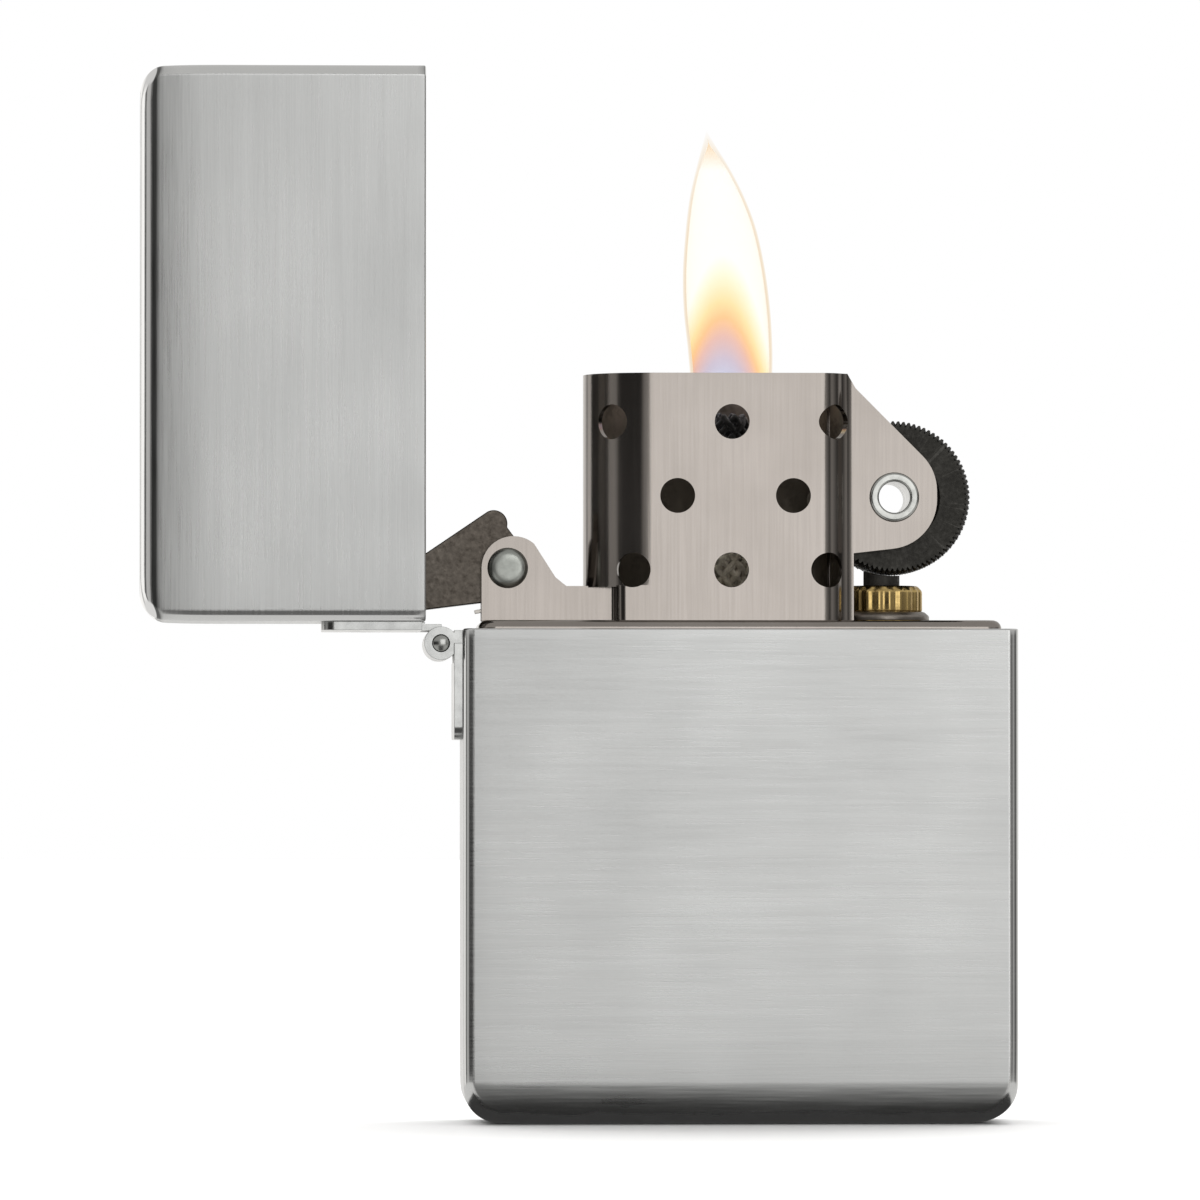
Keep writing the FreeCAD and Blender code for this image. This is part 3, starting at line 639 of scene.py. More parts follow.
def tube_along(points, path, radius, sides):
    """Add a round tube that follows a path of Vectors to a list of points; gives its faces."""
    rings = []
    for number, here in enumerate(path):
        before = path[max(number - 1, 0)]
        after = path[min(number + 1, len(path) - 1)]
        ahead = (after - before).normalized()
        side = ahead.cross(Vector((0, 0, 1)))
        if side.length < 1e-3:
            side = ahead.cross(Vector((1, 0, 0)))
        side.normalize()
        other = side.cross(ahead)
        rings.append(next_ring(points, sides))
        for turn in turns(sides):
            points.append(here + (side * math.cos(turn) + other * math.sin(turn)) * radius)
    return capped(rings)


def coil_path():
    """A compression spring's line: closed end turns, and open turns between them."""
    total_turns = COIL_TURNS + 2 * CLOSED_TURNS
    closed_rise = CLOSED_TURNS * WIRE_RADIUS * 2.15
    open_rise = COIL_HIGH - COIL_LOW - 2 * closed_rise
    path = []
    for step in range(total_turns * TURN_STEPS + 1):
        turned = step / TURN_STEPS
        if turned < CLOSED_TURNS:
            height = COIL_LOW + closed_rise * turned / CLOSED_TURNS
        elif turned > total_turns - CLOSED_TURNS:
            height = COIL_HIGH - closed_rise * (total_turns - turned) / CLOSED_TURNS
        else:
            height = COIL_LOW + closed_rise + open_rise * (turned - CLOSED_TURNS) / COIL_TURNS
        across = COIL_RADIUS * math.cos(2 * math.pi * turned)
        deep = COIL_RADIUS * math.sin(2 * math.pi * turned)
        path.append(Vector((FLINT_X + across, deep, height)))
    return path


def coil_spring(name):
    points = []
    return new_object(name, points, tube_along(points, coil_path(), WIRE_RADIUS, 8))


def strand_path(direction, strand, fray):
    """One strand's line round the wick's core; its end frays and flares at the top."""
    start = 2 * math.pi * strand / STRANDS_EACH_WAY
    height = WICK_TOP - WICK_BOTTOM
    path = []
    for step in range(STRAND_STEPS + 1):
        share = step / STRAND_STEPS
        turn = start + direction * 2 * math.pi * share * height / BRAID_PITCH
        weave = math.cos(STRANDS_EACH_WAY * (turn - start) + math.pi * strand)
        reach = BRAID_MIDDLE + STRAND_RADIUS * (0.5 + 0.45 * direction * weave)
        flare = max(0.0, share - 0.97) * 5 * (fray - 0.3)
        reach = min(reach + flare, WICK_RADIUS - STRAND_RADIUS * 0.9)
        top = -0.7 * fray * max(0.0, share - 0.9) * 10
        across, deep = reach * math.cos(turn), reach * math.sin(turn)
        path.append(Vector((WICK_X + across, deep, WICK_BOTTOM + height * share + top)))
    return path


def braided_wick(name):
    """Two sets of cotton strands plaited round a core, frayed and charred at the top."""
    core_steps, core_short = 40, 0.8
    rise = (WICK_TOP - WICK_BOTTOM - core_short) / core_steps
    core = [Vector((WICK_X, 0, WICK_BOTTOM + rise * step)) for step in range(core_steps + 1)]
    points = []
    faces = tube_along(points, core, BRAID_MIDDLE - 0.02, 16)
    for direction in (1, -1):
        for strand in range(STRANDS_EACH_WAY):
            path = strand_path(direction, strand, noise.random())
            faces += tube_along(points, path, STRAND_RADIUS, 7)
    return new_object(name, points, faces)


def soft_slab(name, low, high, holes, lumps, lump_size, corner, seed, detail=0.55):
    """A soft block that fills the tank's plan, with round holes and an uneven, fibrous surface."""
    half_x = TANK_HALF_WIDTH - TANK_WALL - SOFT_GAP
    half_y = TANK_HALF_DEPTH - TANK_WALL - SOFT_GAP
    plan = ((-half_x, -half_y), (half_x, -half_y), (half_x, half_y), (-half_x, half_y))
    points = [(x, y, z) for z in (low, high) for x, y in plan]
    obj = new_object(name, points, capped([[0, 1, 2, 3], [4, 5, 6, 7]]))
    obj.data.shade_flat()
    round_edges = obj.modifiers.new("round", "BEVEL")
    round_edges.width = corner * MM
    round_edges.segments = 4
    bake_modifiers(obj)
    for x, radius, bottom, top in holes:
        bpy.ops.mesh.primitive_cylinder_add(
            vertices=48, radius=radius * MM, depth=(top - bottom) * MM,
            location=(x * MM, 0, (top + bottom) / 2 * MM),
        )
        drill = bpy.context.object
        cut = obj.modifiers.new("hole", "BOOLEAN")
        cut.operation = "DIFFERENCE"
        cut.object = drill
        bake_modifiers(obj)
        bpy.data.objects.remove(drill)
    remesh = obj.modifiers.new("even", "REMESH")
    remesh.mode = "VOXEL"
    remesh.voxel_size = detail * MM
    bake_modifiers(obj)
    for vertex in obj.data.vertices:
        place = Vector(vertex.co) / MM
        swell = noise.fractal(place / lump_size + Vector((seed, seed, 0)), 1.0, 2.0, 3)
        vertex.co = vertex.co - vertex.normal * MM * lumps * (0.5 + 0.5 * swell)
    obj.data.shade_smooth()
    return obj


# --- materials ---


SHADER_SOCKETS = {
    "metallic": "Metallic",
    "anisotropic": "Anisotropic",
    "anisotropic_turn": "Anisotropic Rotation",
    "sheen": "Sheen Weight",
    "sheen_roughness": "Sheen Roughness",
    "specular": "Specular IOR Level",
}


def darker(colour, share):
    return tuple(value * share for value in colour)


class Nodes:
    """Builds a node tree from a few short calls."""

    def __init__(self, tree):
        self.tree = tree
        tree.nodes.clear()

    def add(self, kind, **settings):
        node = self.tree.nodes.new(kind)
        for key, value in settings.items():
            setattr(node, key, value)
        return node

    def link(self, output, socket):
        self.tree.links.new(output, socket)

    def feed(self, node, values):
        """Give each named or numbered input its number, its colour or the output it is fed from."""
        for key, value in values.items():
            socket = node.inputs[key]
            if isinstance(value, bpy.types.NodeSocket):
                self.link(value, socket)
            elif isinstance(value, tuple) and socket.type == "RGBA":
                socket.default_value = value + (1,)
            else:
                socket.default_value = value
        return node

    def split(self, vector):
        """The three parts of a vector."""
        return self.feed(self.add("ShaderNodeSeparateXYZ"), {0: vector}).outputs[:]

    def ranged(self, value, low_in, high_in, low_out=0.0, high_out=1.0):
        limits = {"From Min": low_in, "From Max": high_in, "To Min": low_out, "To Max": high_out}
        return self.feed(self.add("ShaderNodeMapRange"), {"Value": value, **limits}).outputs["Result"]

    def math(self, operation, first, second=0.0):
        node = self.add("ShaderNodeMath", operation=operation)
        return self.feed(node, {0: first, 1: second}).outputs["Value"]

    def mixed(self, share, first, second):
        """Mix two colours, each a tuple or an output."""
        node = self.add("ShaderNodeMix", data_type="RGBA")
        return self.feed(node, {"Factor": share, 6: first, 7: second}).outputs[2]

    def ramp(self, value, stops):
        """Colours along a 0 to 1 value; each stop is (position, colour)."""
        node = self.feed(self.add("ShaderNodeValToRGB"), {"Fac": value})
        elements = node.color_ramp.elements
        while len(elements) < len(stops):
            elements.new(0.5)
        for element, (position, colour) in zip(elements, stops):
            element.position = position
            element.color = colour + (1,)
        return node.outputs["Color"]

    def between(self, share, first, second):
        """Mix two shaders."""
        return self.feed(self.add("ShaderNodeMixShader"), {0: share, 1: first, 2: second}).outputs[0]


class Recipe(Nodes):
    """One material: a surface shader, and the object's own coordinates to vary it by."""

    def __init__(self, name):
        self.material = bpy.data.materials.new(name)
        self.material.use_nodes = True
        super().__init__(self.material.node_tree)
        self.output = self.add("ShaderNodeOutputMaterial")
        self.shader = self.add("ShaderNodeBsdfPrincipled")
        self.link(self.shader.outputs["BSDF"], self.output.inputs["Surface"])
        self.place = self.add("ShaderNodeTexCoord").outputs["Object"]

    def noise(self, scale, detail=2.0, roughness=0.5, distortion=0.0):
        """Noise with so many features a metre, on all axes or on each."""
        scale = tuple(scale) if hasattr(scale, "__len__") else (scale,) * 3
        stretched = self.feed(self.add("ShaderNodeMapping"), {"Vector": self.place, "Scale": scale})
        settings = {"Scale": 1.0, "Detail": detail, "Roughness": roughness, "Distortion": distortion}
        node = self.add("ShaderNodeTexNoise")
        return self.feed(node, {"Vector": stretched.outputs["Vector"], **settings}).outputs["Fac"]

    def bump(self, height, distance, strength=1.0, under=None):
        node = self.add("ShaderNodeBump")
        self.feed(node, {"Strength": strength, "Distance": distance * MM, "Height": height})
        if under is not None:
            self.link(under, node.inputs["Normal"])
        return node.outputs["Normal"]

    def facings(self, first, second):
        """How far the surface faces along one axis of the object, times the same for another."""
        parts = self.split(self.add("ShaderNodeTexCoord").outputs["Normal"])
        return self.math("MULTIPLY", parts[first], parts[second])

    def facing(self, axis):
        """How squarely the surface faces along an axis of the object, from 0 to 1."""
        return self.ranged(self.facings(axis, axis), 0.35, 0.65)

    def corner(self, side):
        """1 on the rounds between the front or back and the given side, which are polished."""
        return self.ranged(self.math("ABSOLUTE", self.facings(Y, side)), 0.08, 0.25)

    def end_round(self, end, start, depth):
        """1 on the outer part of the closed end's round, from a boundary that wavers by depth."""
        square = self.facings(end, end)
        waver = self.ranged(self.noise(420.0), 0.3, 0.7, -depth, depth)
        begun = self.ranged(self.math("ADD", square, waver), start, start + 0.05)
        return self.math("MULTIPLY", begun, self.ranged(square, 0.96, 0.995, 1.0, 0.0))

    def painted_dark_reflection(self, end, start):
        """1 where the wall turns into the closed end's round, before its polished part; a dark reflection
        line is painted there.
        """
        square = self.facings(end, end)
        turned = self.ranged(square, 0.003, 0.05)
        return self.math("MULTIPLY", turned, self.ranged(square, start, start + 0.05, 1.0, 0.0))

    def worn_edges(self, low=0.52, high=0.62):
        """1 on convex edges, where handling has polished the metal."""
        return self.ranged(self.add("ShaderNodeNewGeometry").outputs["Pointiness"], low, high)

    def paint(self, colour, roughness, relief=None, **settings):
        """Set the shader up and give the finished material."""
        self.feed(self.shader, {"Base Color": colour, "Roughness": roughness})
        if relief is not None:
            self.link(relief, self.shader.inputs["Normal"])
        for key, value in settings.items():
            self.shader.inputs[SHADER_SOCKETS[key]].default_value = value
        return self.material


def streaks(length, width, *axes):
    """Features a metre for streaks that run along the given axes."""
    return [length if axis in axes else width for axis in (X, Y, Z)]


def brushed_chrome(name, long_axis, end_axis, round_start, waver, painted_reflection_depth, round_tone):
    """Chrome brushed along one axis of the faces, the closed end too. The corners are polished."""
    recipe = Recipe(name)
    math_of = recipe.math
    wall = recipe.noise(streaks(160.0, 7000.0, long_axis, Y), 3.0, 0.6)
    end = recipe.noise(streaks(160.0, 7000.0, long_axis, end_axis), 3.0, 0.6)
    mix = recipe.add("ShaderNodeMix", data_type="FLOAT")
    fine = recipe.feed(mix, {"Factor": recipe.facing(end_axis), 2: wall, 3: end}).outputs[0]
    broad = recipe.noise(streaks(60.0, 2200.0, long_axis, Y))
    cloud = recipe.noise(90.0)
    worn = recipe.worn_edges()
    corner = recipe.corner(long_axis)
    end_round = recipe.end_round(end_axis, round_start, waver)
    # Painted reflection: a dark line where the wall turns into the end round, standing in for dark
    # surroundings mirrored there
    painted_dark_reflection = math_of("MULTIPLY", recipe.painted_dark_reflection(end_axis, round_start), painted_reflection_depth)
    colour = recipe.mixed(recipe.ranged(fine, 0.3, 0.7), (0.485, 0.491, 0.487), (0.60, 0.606, 0.60))
    band = math_of("MULTIPLY", recipe.ranged(broad, 0.35, 0.65), 0.3)
    for share, tone in (
        (band, (0.46, 0.465, 0.46)),
        (math_of("MULTIPLY", worn, 0.5), (0.72, 0.72, 0.71)),
        (corner, (0.74, 0.745, 0.74)),
        # painted reflection: the near-black line along the end round
        (painted_dark_reflection, (0.05, 0.052, 0.05)),
        (end_round, (round_tone,) * 3),
    ):
        colour = recipe.mixed(share, colour, tone)
    rough = recipe.ranged(fine, 0.3, 0.7, 0.25, 0.35)
    rough = math_of("ADD", rough, recipe.ranged(cloud, 0.3, 0.7, -0.02, 0.03))
    for share, change in (
        (worn, -0.1), (recipe.corner(end_axis), 0.05), (end_round, -0.25), (corner, -0.17),
    ):
        rough = math_of("ADD", rough, math_of("MULTIPLY", share, change))
    relief = recipe.bump(broad, 0.003, 0.3, recipe.bump(fine, 0.0035, 0.5))
    tangent = recipe.add("ShaderNodeTangent", direction_type="RADIAL", axis="XYZ"[end_axis])
    recipe.link(tangent.outputs["Tangent"], recipe.shader.inputs["Tangent"])
    return recipe.paint(colour, rough, relief, metallic=1.0, anisotropic=0.7, anisotropic_turn=0.25)


def metal(
    name, dark, light, rough, grain, grain_depth, spots=0.0, spot_scale=900.0, rust=None, contrast=0.25
):
    """A metal with drawn grain, slow colour change and, if asked, dark spots.

    grain is the scale of the grain per metre, on all axes or along x, y and z.
    """
    recipe = Recipe(name)
    fine = recipe.noise(grain, 3.0, 0.6)
    cloud = recipe.noise(140.0, 3.0)
    colour = recipe.mixed(recipe.ranged(cloud, 0.35, 0.65), dark, light)
    grain_share = recipe.ranged(fine, 0.35, 0.65, 0.0, contrast)
    colour = recipe.mixed(grain_share, colour, darker(dark, 0.72))
    roughness = recipe.ranged(fine, 0.3, 0.7, *rough)
    roughness = recipe.math("ADD", roughness, recipe.ranged(cloud, 0.3, 0.7, -0.02, 0.03))
    relief = recipe.bump(fine, grain_depth, 0.6)
    if spots:
        spotted = recipe.noise(spot_scale, 4.0, 0.65)
        share = recipe.ranged(spotted, 0.5, 0.68, 0.0, spots)
        colour = recipe.mixed(share, colour, rust)
        roughness = recipe.math("ADD", roughness, recipe.math("MULTIPLY", share, 0.25))
        relief = recipe.bump(spotted, grain_depth * 2.5, 0.5, relief)
    return recipe.paint(colour, roughness, relief, metallic=1.0)


def metal_and_edges(name, dark, light, rough, grain, grain_depth, spots=0.0, *spot_look, **grain_look):
    """The metal, and the same metal rubbed brighter for the rounded edges."""
    surface = metal(name, dark, light, rough, grain, grain_depth, spots, *spot_look, **grain_look)
    rubbed = [tuple(min(1.0, 0.05 + v * EDGE_BRIGHTNESS) for v in colour) for colour in (dark, light)]
    smoother = darker(rough, EDGE_SMOOTHNESS)
    edges = metal(
        name + "_rubbed", *rubbed, smoother, grain, grain_depth / 2, spots / 3, *spot_look, **grain_look
    )
    return surface, edges


def flint_alloy():
    """Dull grey cast alloy, gritty, with the scuffs of the wheel."""
    recipe = Recipe("flint_alloy_gritty")
    grit = recipe.noise(5200.0, 5.0, 0.7)
    colour = recipe.mixed(recipe.noise(700.0), (0.035, 0.033, 0.031), (0.13, 0.125, 0.115))
    rough = recipe.ranged(grit, 0.3, 0.7, 0.45, 0.8)
    return recipe.paint(colour, rough, recipe.bump(grit, 0.03, 0.8), metallic=0.7)


def cotton(name, clean, soiled, fibre_scale, charred=False):
    """Matted cotton: crossed fibres, a soft sheen and slight discolouring."""
    recipe = Recipe(name)
    lengthways = recipe.noise((fibre_scale, fibre_scale, fibre_scale * 0.12), 4.0, 0.65, 1.2)
    crossways = recipe.noise((fibre_scale * 0.15, fibre_scale, fibre_scale), 4.0, 0.65, 1.5)
    fibres = recipe.math("MAXIMUM", lengthways, crossways)
    colour = recipe.mixed(recipe.ranged(recipe.noise(220.0, 3.0), 0.35, 0.7), clean, soiled)
    colour = recipe.mixed(recipe.ranged(fibres, 0.4, 0.65, 0.6, 0.0), colour, darker(soiled, 0.55))
    if charred:
        colour = recipe.mixed(char_share(recipe), colour, (0.012, 0.011, 0.01))
    rough = recipe.ranged(fibres, 0.3, 0.7, 0.98, 0.8)
    relief = recipe.bump(fibres, 0.09, 0.9)
    return recipe.paint(colour, rough, relief, sheen=0.35, sheen_roughness=0.5, specular=0.2)


def char_share(recipe):
    """1 at the wick's lit end, with a ragged edge lower down."""
    ragged = recipe.math("MULTIPLY", recipe.noise(600.0, 3.0), 2.5 * MM)
    height = recipe.math("ADD", recipe.split(recipe.place)[Z], ragged)
    return recipe.ranged(height, (WICK_TOP - 6.5) * MM, (WICK_TOP - 1.0) * MM)


def wheel_steel():
    """Hardened, blackened steel with bright tooth tips and turned sides."""
    recipe = Recipe("wheel_steel_blackened")
    grit = recipe.noise(3800.0, 4.0, 0.6)
    colour = recipe.mixed(recipe.noise(400.0), (0.022, 0.021, 0.019), (0.06, 0.058, 0.052))
    worn = recipe.math("MULTIPLY", recipe.worn_edges(0.51, 0.6), 0.3)
    colour = recipe.mixed(worn, colour, (0.15, 0.145, 0.135))
    rough = recipe.ranged(grit, 0.3, 0.7, 0.36, 0.62)
    return recipe.paint(colour, rough, recipe.bump(grit, 0.02, 0.6), metallic=0.9)


def make_materials():
    return {
        "case": brushed_chrome("case_chrome_brushed", X, Z, 0.52, 0.09, 0.0, 0.75),
        # The lid's 0.85 is the strength of its painted dark reflection line; the case's 0.0 leaves it out
        "lid": brushed_chrome("lid_chrome_brushed", Z, X, 0.17, 0.0, 0.85, 0.95),
        "hinge": metal_and_edges(
            "hinge_chrome_polished", (0.40, 0.405, 0.40), (0.48, 0.485, 0.475),
            (0.12, 0.2), (900.0, 200.0, 900.0), 0.002,
        ),
        "insert": metal_and_edges(
            "insert_steel_drawn", (0.295, 0.268, 0.246), (0.342, 0.312, 0.288),
            (0.12, 0.17), (5200.0, 5200.0, 120.0), 0.0004, contrast=0.1,
        ),
        "soot": metal(
            "insert_steel_sooted", (0.15, 0.132, 0.108), (0.25, 0.222, 0.186),
            (0.45, 0.65), (1500.0, 1500.0, 400.0), 0.006, 0.5, 700.0, (0.05, 0.043, 0.034),
        ),
        "rivet": metal(
            "rivet_steel_polished", (0.38, 0.385, 0.37), (0.48, 0.485, 0.465),
            (0.12, 0.22), 1800.0, 0.002,
        ),
        "wheel": wheel_steel(),
        "cam": (
            metal(
                "cam_steel_browned", (0.13, 0.113, 0.096), (0.19, 0.168, 0.145),
                (0.34, 0.5), 2600.0, 0.006, 0.35, 1900.0, (0.06, 0.048, 0.038),
            ),
            metal(
                "cam_steel_rim", (0.05, 0.042, 0.034), (0.08, 0.068, 0.056),
                (0.34, 0.5), 2600.0, 0.004,
            ),
        ),
        "cam_rivet": metal(
            "rivet_steel_dull", (0.34, 0.355, 0.33), (0.44, 0.455, 0.425),
            (0.26, 0.36), 1500.0, 0.004, 0.35, 600.0, (0.2, 0.2, 0.18),
        ),
        "spring": metal_and_edges(
            "spring_steel_blued", (0.42, 0.40, 0.37), (0.52, 0.50, 0.47),
            (0.2, 0.32), (200.0, 4200.0, 4200.0), 0.002,
        ),
        "brass": metal_and_edges(
            "brass_turned", (0.52, 0.36, 0.13), (0.68, 0.50, 0.21),
            (0.16, 0.26), (260.0, 260.0, 5200.0), 0.0025, 0.35, 800.0, (0.20, 0.12, 0.04),
        ),
        "collar": metal(
            "collar_metal_dull", (0.24, 0.215, 0.19), (0.34, 0.31, 0.28),
            (0.28, 0.4), 1500.0, 0.005, 0.4, 1100.0, (0.1, 0.085, 0.07),
        ),
        "flint": (flint_alloy(),) * 2,
        "wick": cotton("wick_cotton_charred", (0.72, 0.68, 0.58), (0.55, 0.47, 0.34), 9000.0, charred=True),
        "cotton": cotton("packing_cotton_matted", (0.78, 0.75, 0.68), (0.62, 0.56, 0.44), 2400.0),
        "felt": cotton("felt_pressed", (0.66, 0.64, 0.58), (0.50, 0.46, 0.38), 5200.0),
    }


# --- the pieces ---


def make_case(look):
    shell = drawn_can("case_shell_brushed", CASE_HEIGHT, CASE_END, 3.0, standing)
    finished(shell, "case", look["case"], "case_brushed_chrome", "case_bottom")
    refined("case_hinge_leaf", "case_leaf_rounded", "case", 0.07, look["hinge"], "hinge_chrome")
    pin = lathe("hinge_pin_headed", pin_outline(), (PIN_X, PIN_Z), Y, SMALL_LATHE_STEPS)
    finished(pin, "case", look["rivet"], "hinge_chrome", "hinge_pin")


def make_lid(look):
    shell = drawn_can("lid_shell_brushed", LID_HEIGHT, LID_END, 11.0, opened_lid)
    finished(shell, "lid", look["lid"], "case_brushed_chrome", "lid_shell")
    refined("lid_hinge_leaf", "lid_leaf_rounded", "lid", 0.07, look["hinge"], "hinge_chrome")


def sooted_inside(obj, soot):
    """Give the windscreen's inner faces the sooted finish."""
    obj.data.materials.append(soot)
    for face in obj.data.polygons:
        across = face.center.x / MM
        if across < CHIMNEY_LEFT or across > CHIMNEY_RIGHT:
            continue
        core_x = max(across, CHIMNEY_LEFT + CHIMNEY_HALF_DEPTH)
        outwards = Vector((across - core_x, face.center.y / MM, 0))
        if outwards.length > 1.0 and face.normal.dot(outwards.normalized()) < -0.6:
            face.material_index = 2


def make_insert(look):
    refined("insert_tank", "tank_drawn", "insert", 0.06, look["insert"], "insert_steel")
    screen = refined("chimney", "windscreen_stamped", "insert", 0.1, look["insert"], "insert_steel")
    sooted_inside(screen, look["soot"])
    refined("cam_spring", "cam_leaf_spring", "insert", 0.04, look["spring"], "spring_steel")
    axle = lathe("axle_rolled", axle_outline(), (WHEEL_X, WHEEL_Z), Y)
    finished(axle, "insert", look["rivet"], "rivet_steel", "wheel_axle")
    rivet = lathe("cam_rivet_domed", cam_rivet_outline(), (CAM_X, CAM_Z), Y)
    finished(rivet, "insert", look["cam_rivet"], "rivet_steel", "cam_rivet")
    small = lathe("spring_rivet_domed", spring_rivet_outline(), (SPRING_RIVET_X, 0), Z, SMALL_LATHE_STEPS)
    finished(small, "insert", look["rivet"], "rivet_steel", "cam_spring_rivet")
    tube = lathe("flint_tube_brass", tube_outline(), (FLINT_X, 0), Z, RIB_STEPS * RIBS)
    finished(ribbed_ferrule(tube), "insert", look["brass"][0], "brass", "flint_tube")
    collar = lathe("tube_collar_turned", collar_outline(), (FLINT_X, 0), Z)
    finished(collar, "insert", look["collar"], "collar_metal", "flint_tube_collar")
    finished(braided_wick("wick_braided"), "insert", look["wick"], "wick_cotton", "wick")


def make_packing(look):
    low = FELT_HIGH + WAD_GAP
    pitch = (PACKING_HIGH - low) / WADS
    for number in range(WADS):
        bottom = low + number * pitch
        top = bottom + pitch - WAD_GAP
        holes = [(FLINT_X, TUBE_RADIUS + SOFT_GAP - 0.1, bottom - 1, top + 1)]
        if top > WICK_BOTTOM:
            start = max(bottom - 1, WICK_BOTTOM - 0.3)
            holes.append((WICK_X, WICK_RADIUS, start, top + 1))
        wad = soft_slab(f"cotton_wad_{number + 1}", bottom, top, holes, 0.45, 1.6, 1.1, number * 5.0)
        slotted(wad, "packing_cotton", look["cotton"])
        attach(wad, "insert")
        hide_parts("cotton_packing")
    holes = [(FLINT_X, SCREW_HEAD_RADIUS + 0.05, FELT_LOW - 1, FELT_HIGH + 1)]
    felt = soft_slab("felt_pad_fibrous", FELT_LOW, FELT_HIGH, holes, 0.12, 0.7, 0.35, 31.0, 0.3)
    finished(felt, "insert", look["felt"], "felt", "felt_pad")


def make_moving(look):
    refined("cam", "cam_stamped", "cam", 0.12, look["cam"], "cam_steel")
    wheel = toothed_wheel("wheel_toothed")
    finished(wheel, "flint_wheel", look["wheel"], "wheel_steel", "flint_wheel")
    refined("flint", "flint_worn", "flint_carrier", 0.05, look["flint"], "flint_alloy")
    plunger = lathe("plunger_turned", plunger_outline(), (FLINT_X, 0), Z, SMALL_LATHE_STEPS)
    finished(plunger, "flint_carrier", look["brass"][0], "brass", "flint_plunger")
    spring = coil_spring("flint_coil_spring")
    finished(spring, "insert", look["spring"][0], "spring_steel", "flint_spring")
    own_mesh(spring)
    refined("flint_screw", "screw_slotted", "flint_screw", 0.05, look["brass"], "brass")


# --- flame, floor, light and camera ---


def smooth_between(knots, height):
    """A smooth value through (height, value) knots."""
    for number, (low, high) in enumerate(zip(knots, knots[1:])):
        if height <= high[0]:
            before = knots[max(number - 1, 0)]
            after = knots[min(number + 2, len(knots) - 1)]
            span = high[0] - low[0]
            share = (height - low[0]) / span
            slope_low = (high[1] - before[1]) / (high[0] - before[0]) * span
            slope_high = (after[1] - low[1]) / (after[0] - low[0]) * span
            squared, cubed = share**2, share**3
            return (
                (2 * cubed - 3 * squared + 1) * low[1]
                + (cubed - 2 * squared + share) * slope_low
                + (3 * squared - 2 * cubed) * high[1]
                + (cubed - squared) * slope_high
            )
    return knots[-1][1]


def flame_shell(name, inset):
    """A closed flame shape whose outline bows out on the right and leans left at its tip."""
    points, rings = [], []
    for row in range(FLAME_ROWS + 1):
        height = FLAME_LOW + (FLAME_HIGH - FLAME_LOW) * row / FLAME_ROWS
        left = smooth_between(FLAME_LEFT, height)
        right = smooth_between(FLAME_RIGHT, height)
        near_tip = max(0.0, (height - FLAME_TIP_START) / (FLAME_HIGH - FLAME_TIP_START))
        half = max((right - left) / 2 - inset * (1 + near_tip), 0.01)
        rings.append(next_ring(points, FLAME_STEPS))
        for turn in turns(FLAME_STEPS):
            across = (left + right) / 2 + half * math.cos(turn)
            points.append((across, half * FLAME_THICKNESS * math.sin(turn), height))
    return new_object(name, points, capped(rings))


def flame_edge_look():
    """A thin amber veil: it is seen edge-on only round the outline, where it looks densest."""
    recipe = Recipe("flame_edge")
    recipe.tree.nodes.remove(recipe.shader)
    clear = recipe.add("ShaderNodeBsdfTransparent")
    veil = recipe.feed(
        recipe.add("ShaderNodeVolumeAbsorption"), {"Color": (0.84, 0.62, 0.28), "Density": 650.0}
    )
    recipe.feed(recipe.output, {"Surface": clear.outputs[0], "Volume": veil.outputs[0]})
    return recipe.material


def make_flame():
    """The flame is part of the scene, not of the lighter."""
    veil = flame_shell("flame_veil", 0.0)
    hollow = flame_shell("flame_hollow", FLAME_WALL)
    work = bmesh.new()
    work.from_mesh(veil.data)
    for polygon in hollow.data.polygons:
        polygon.flip()
    work.from_mesh(hollow.data)
    work.to_mesh(veil.data)
    work.free()
    veil.data.materials.append(flame_edge_look())
    core = flame_shell("flame_core", FLAME_WALL * 1.2)
    core.data.materials.append(flame_core_look())
    bpy.data.objects.remove(hollow)
    for piece in (veil, core):
        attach(piece, "insert")
        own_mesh(piece)
        piece.visible_shadow = False


def flame_core_look():
    """Blue at the wick, an orange arch above it, pale yellow higher up and an amber tip."""
    recipe = Recipe("flame_core")
    recipe.tree.nodes.remove(recipe.shader)
    across, _, up = recipe.split(recipe.place)
    off_centre = recipe.math("MULTIPLY", recipe.math("ADD", across, 1.0 * MM), 1 / (3.4 * MM))
    bow = recipe.math("MULTIPLY", recipe.math("MULTIPLY", off_centre, off_centre), 7.5 * MM)
    level = recipe.ranged(recipe.math("ADD", up, bow), 51.2 * MM, 59.9 * MM)
    tip = recipe.ranged(up, FLAME_TIP_START * MM, FLAME_HIGH * MM)
    colour = recipe.mixed(tip, recipe.ramp(level, FLAME_COLOURS), (0.86, 0.56, 0.24))
    glow = recipe.feed(recipe.add("ShaderNodeEmission"), {"Color": colour, "Strength": 1.1})
    clear = recipe.add("ShaderNodeBsdfTransparent")
    share = recipe.ranged(level, 0.0, 0.3, 0.55, 0.66)
    seen = recipe.between(share, clear.outputs[0], glow.outputs[0])
    recipe.link(seen, recipe.output.inputs["Surface"])
    return recipe.material


def level_card(name, material_name, half_x, half_y, height, tones, grain, roughness, specular):
    """A level card with a faintly uneven tone."""
    corners = ((-half_x, -half_y), (half_x, -half_y), (half_x, half_y), (-half_x, half_y))
    card = new_object(name, [(x, y, height) for x, y in corners], [[0, 1, 2, 3]])
    recipe = Recipe(material_name)
    colour = recipe.mixed(recipe.noise(grain), *((tone,) * 3 for tone in tones))
    card.data.materials.append(recipe.paint(colour, roughness, specular=specular))
    return card


def make_floor():
    half = FLOOR_SIZE / 2
    floor = level_card("studio_floor", "floor_pale_matte", half, half, 0, (0.86, 0.89), 9.0, 0.9, 0.1)
    floor.visible_glossy = False


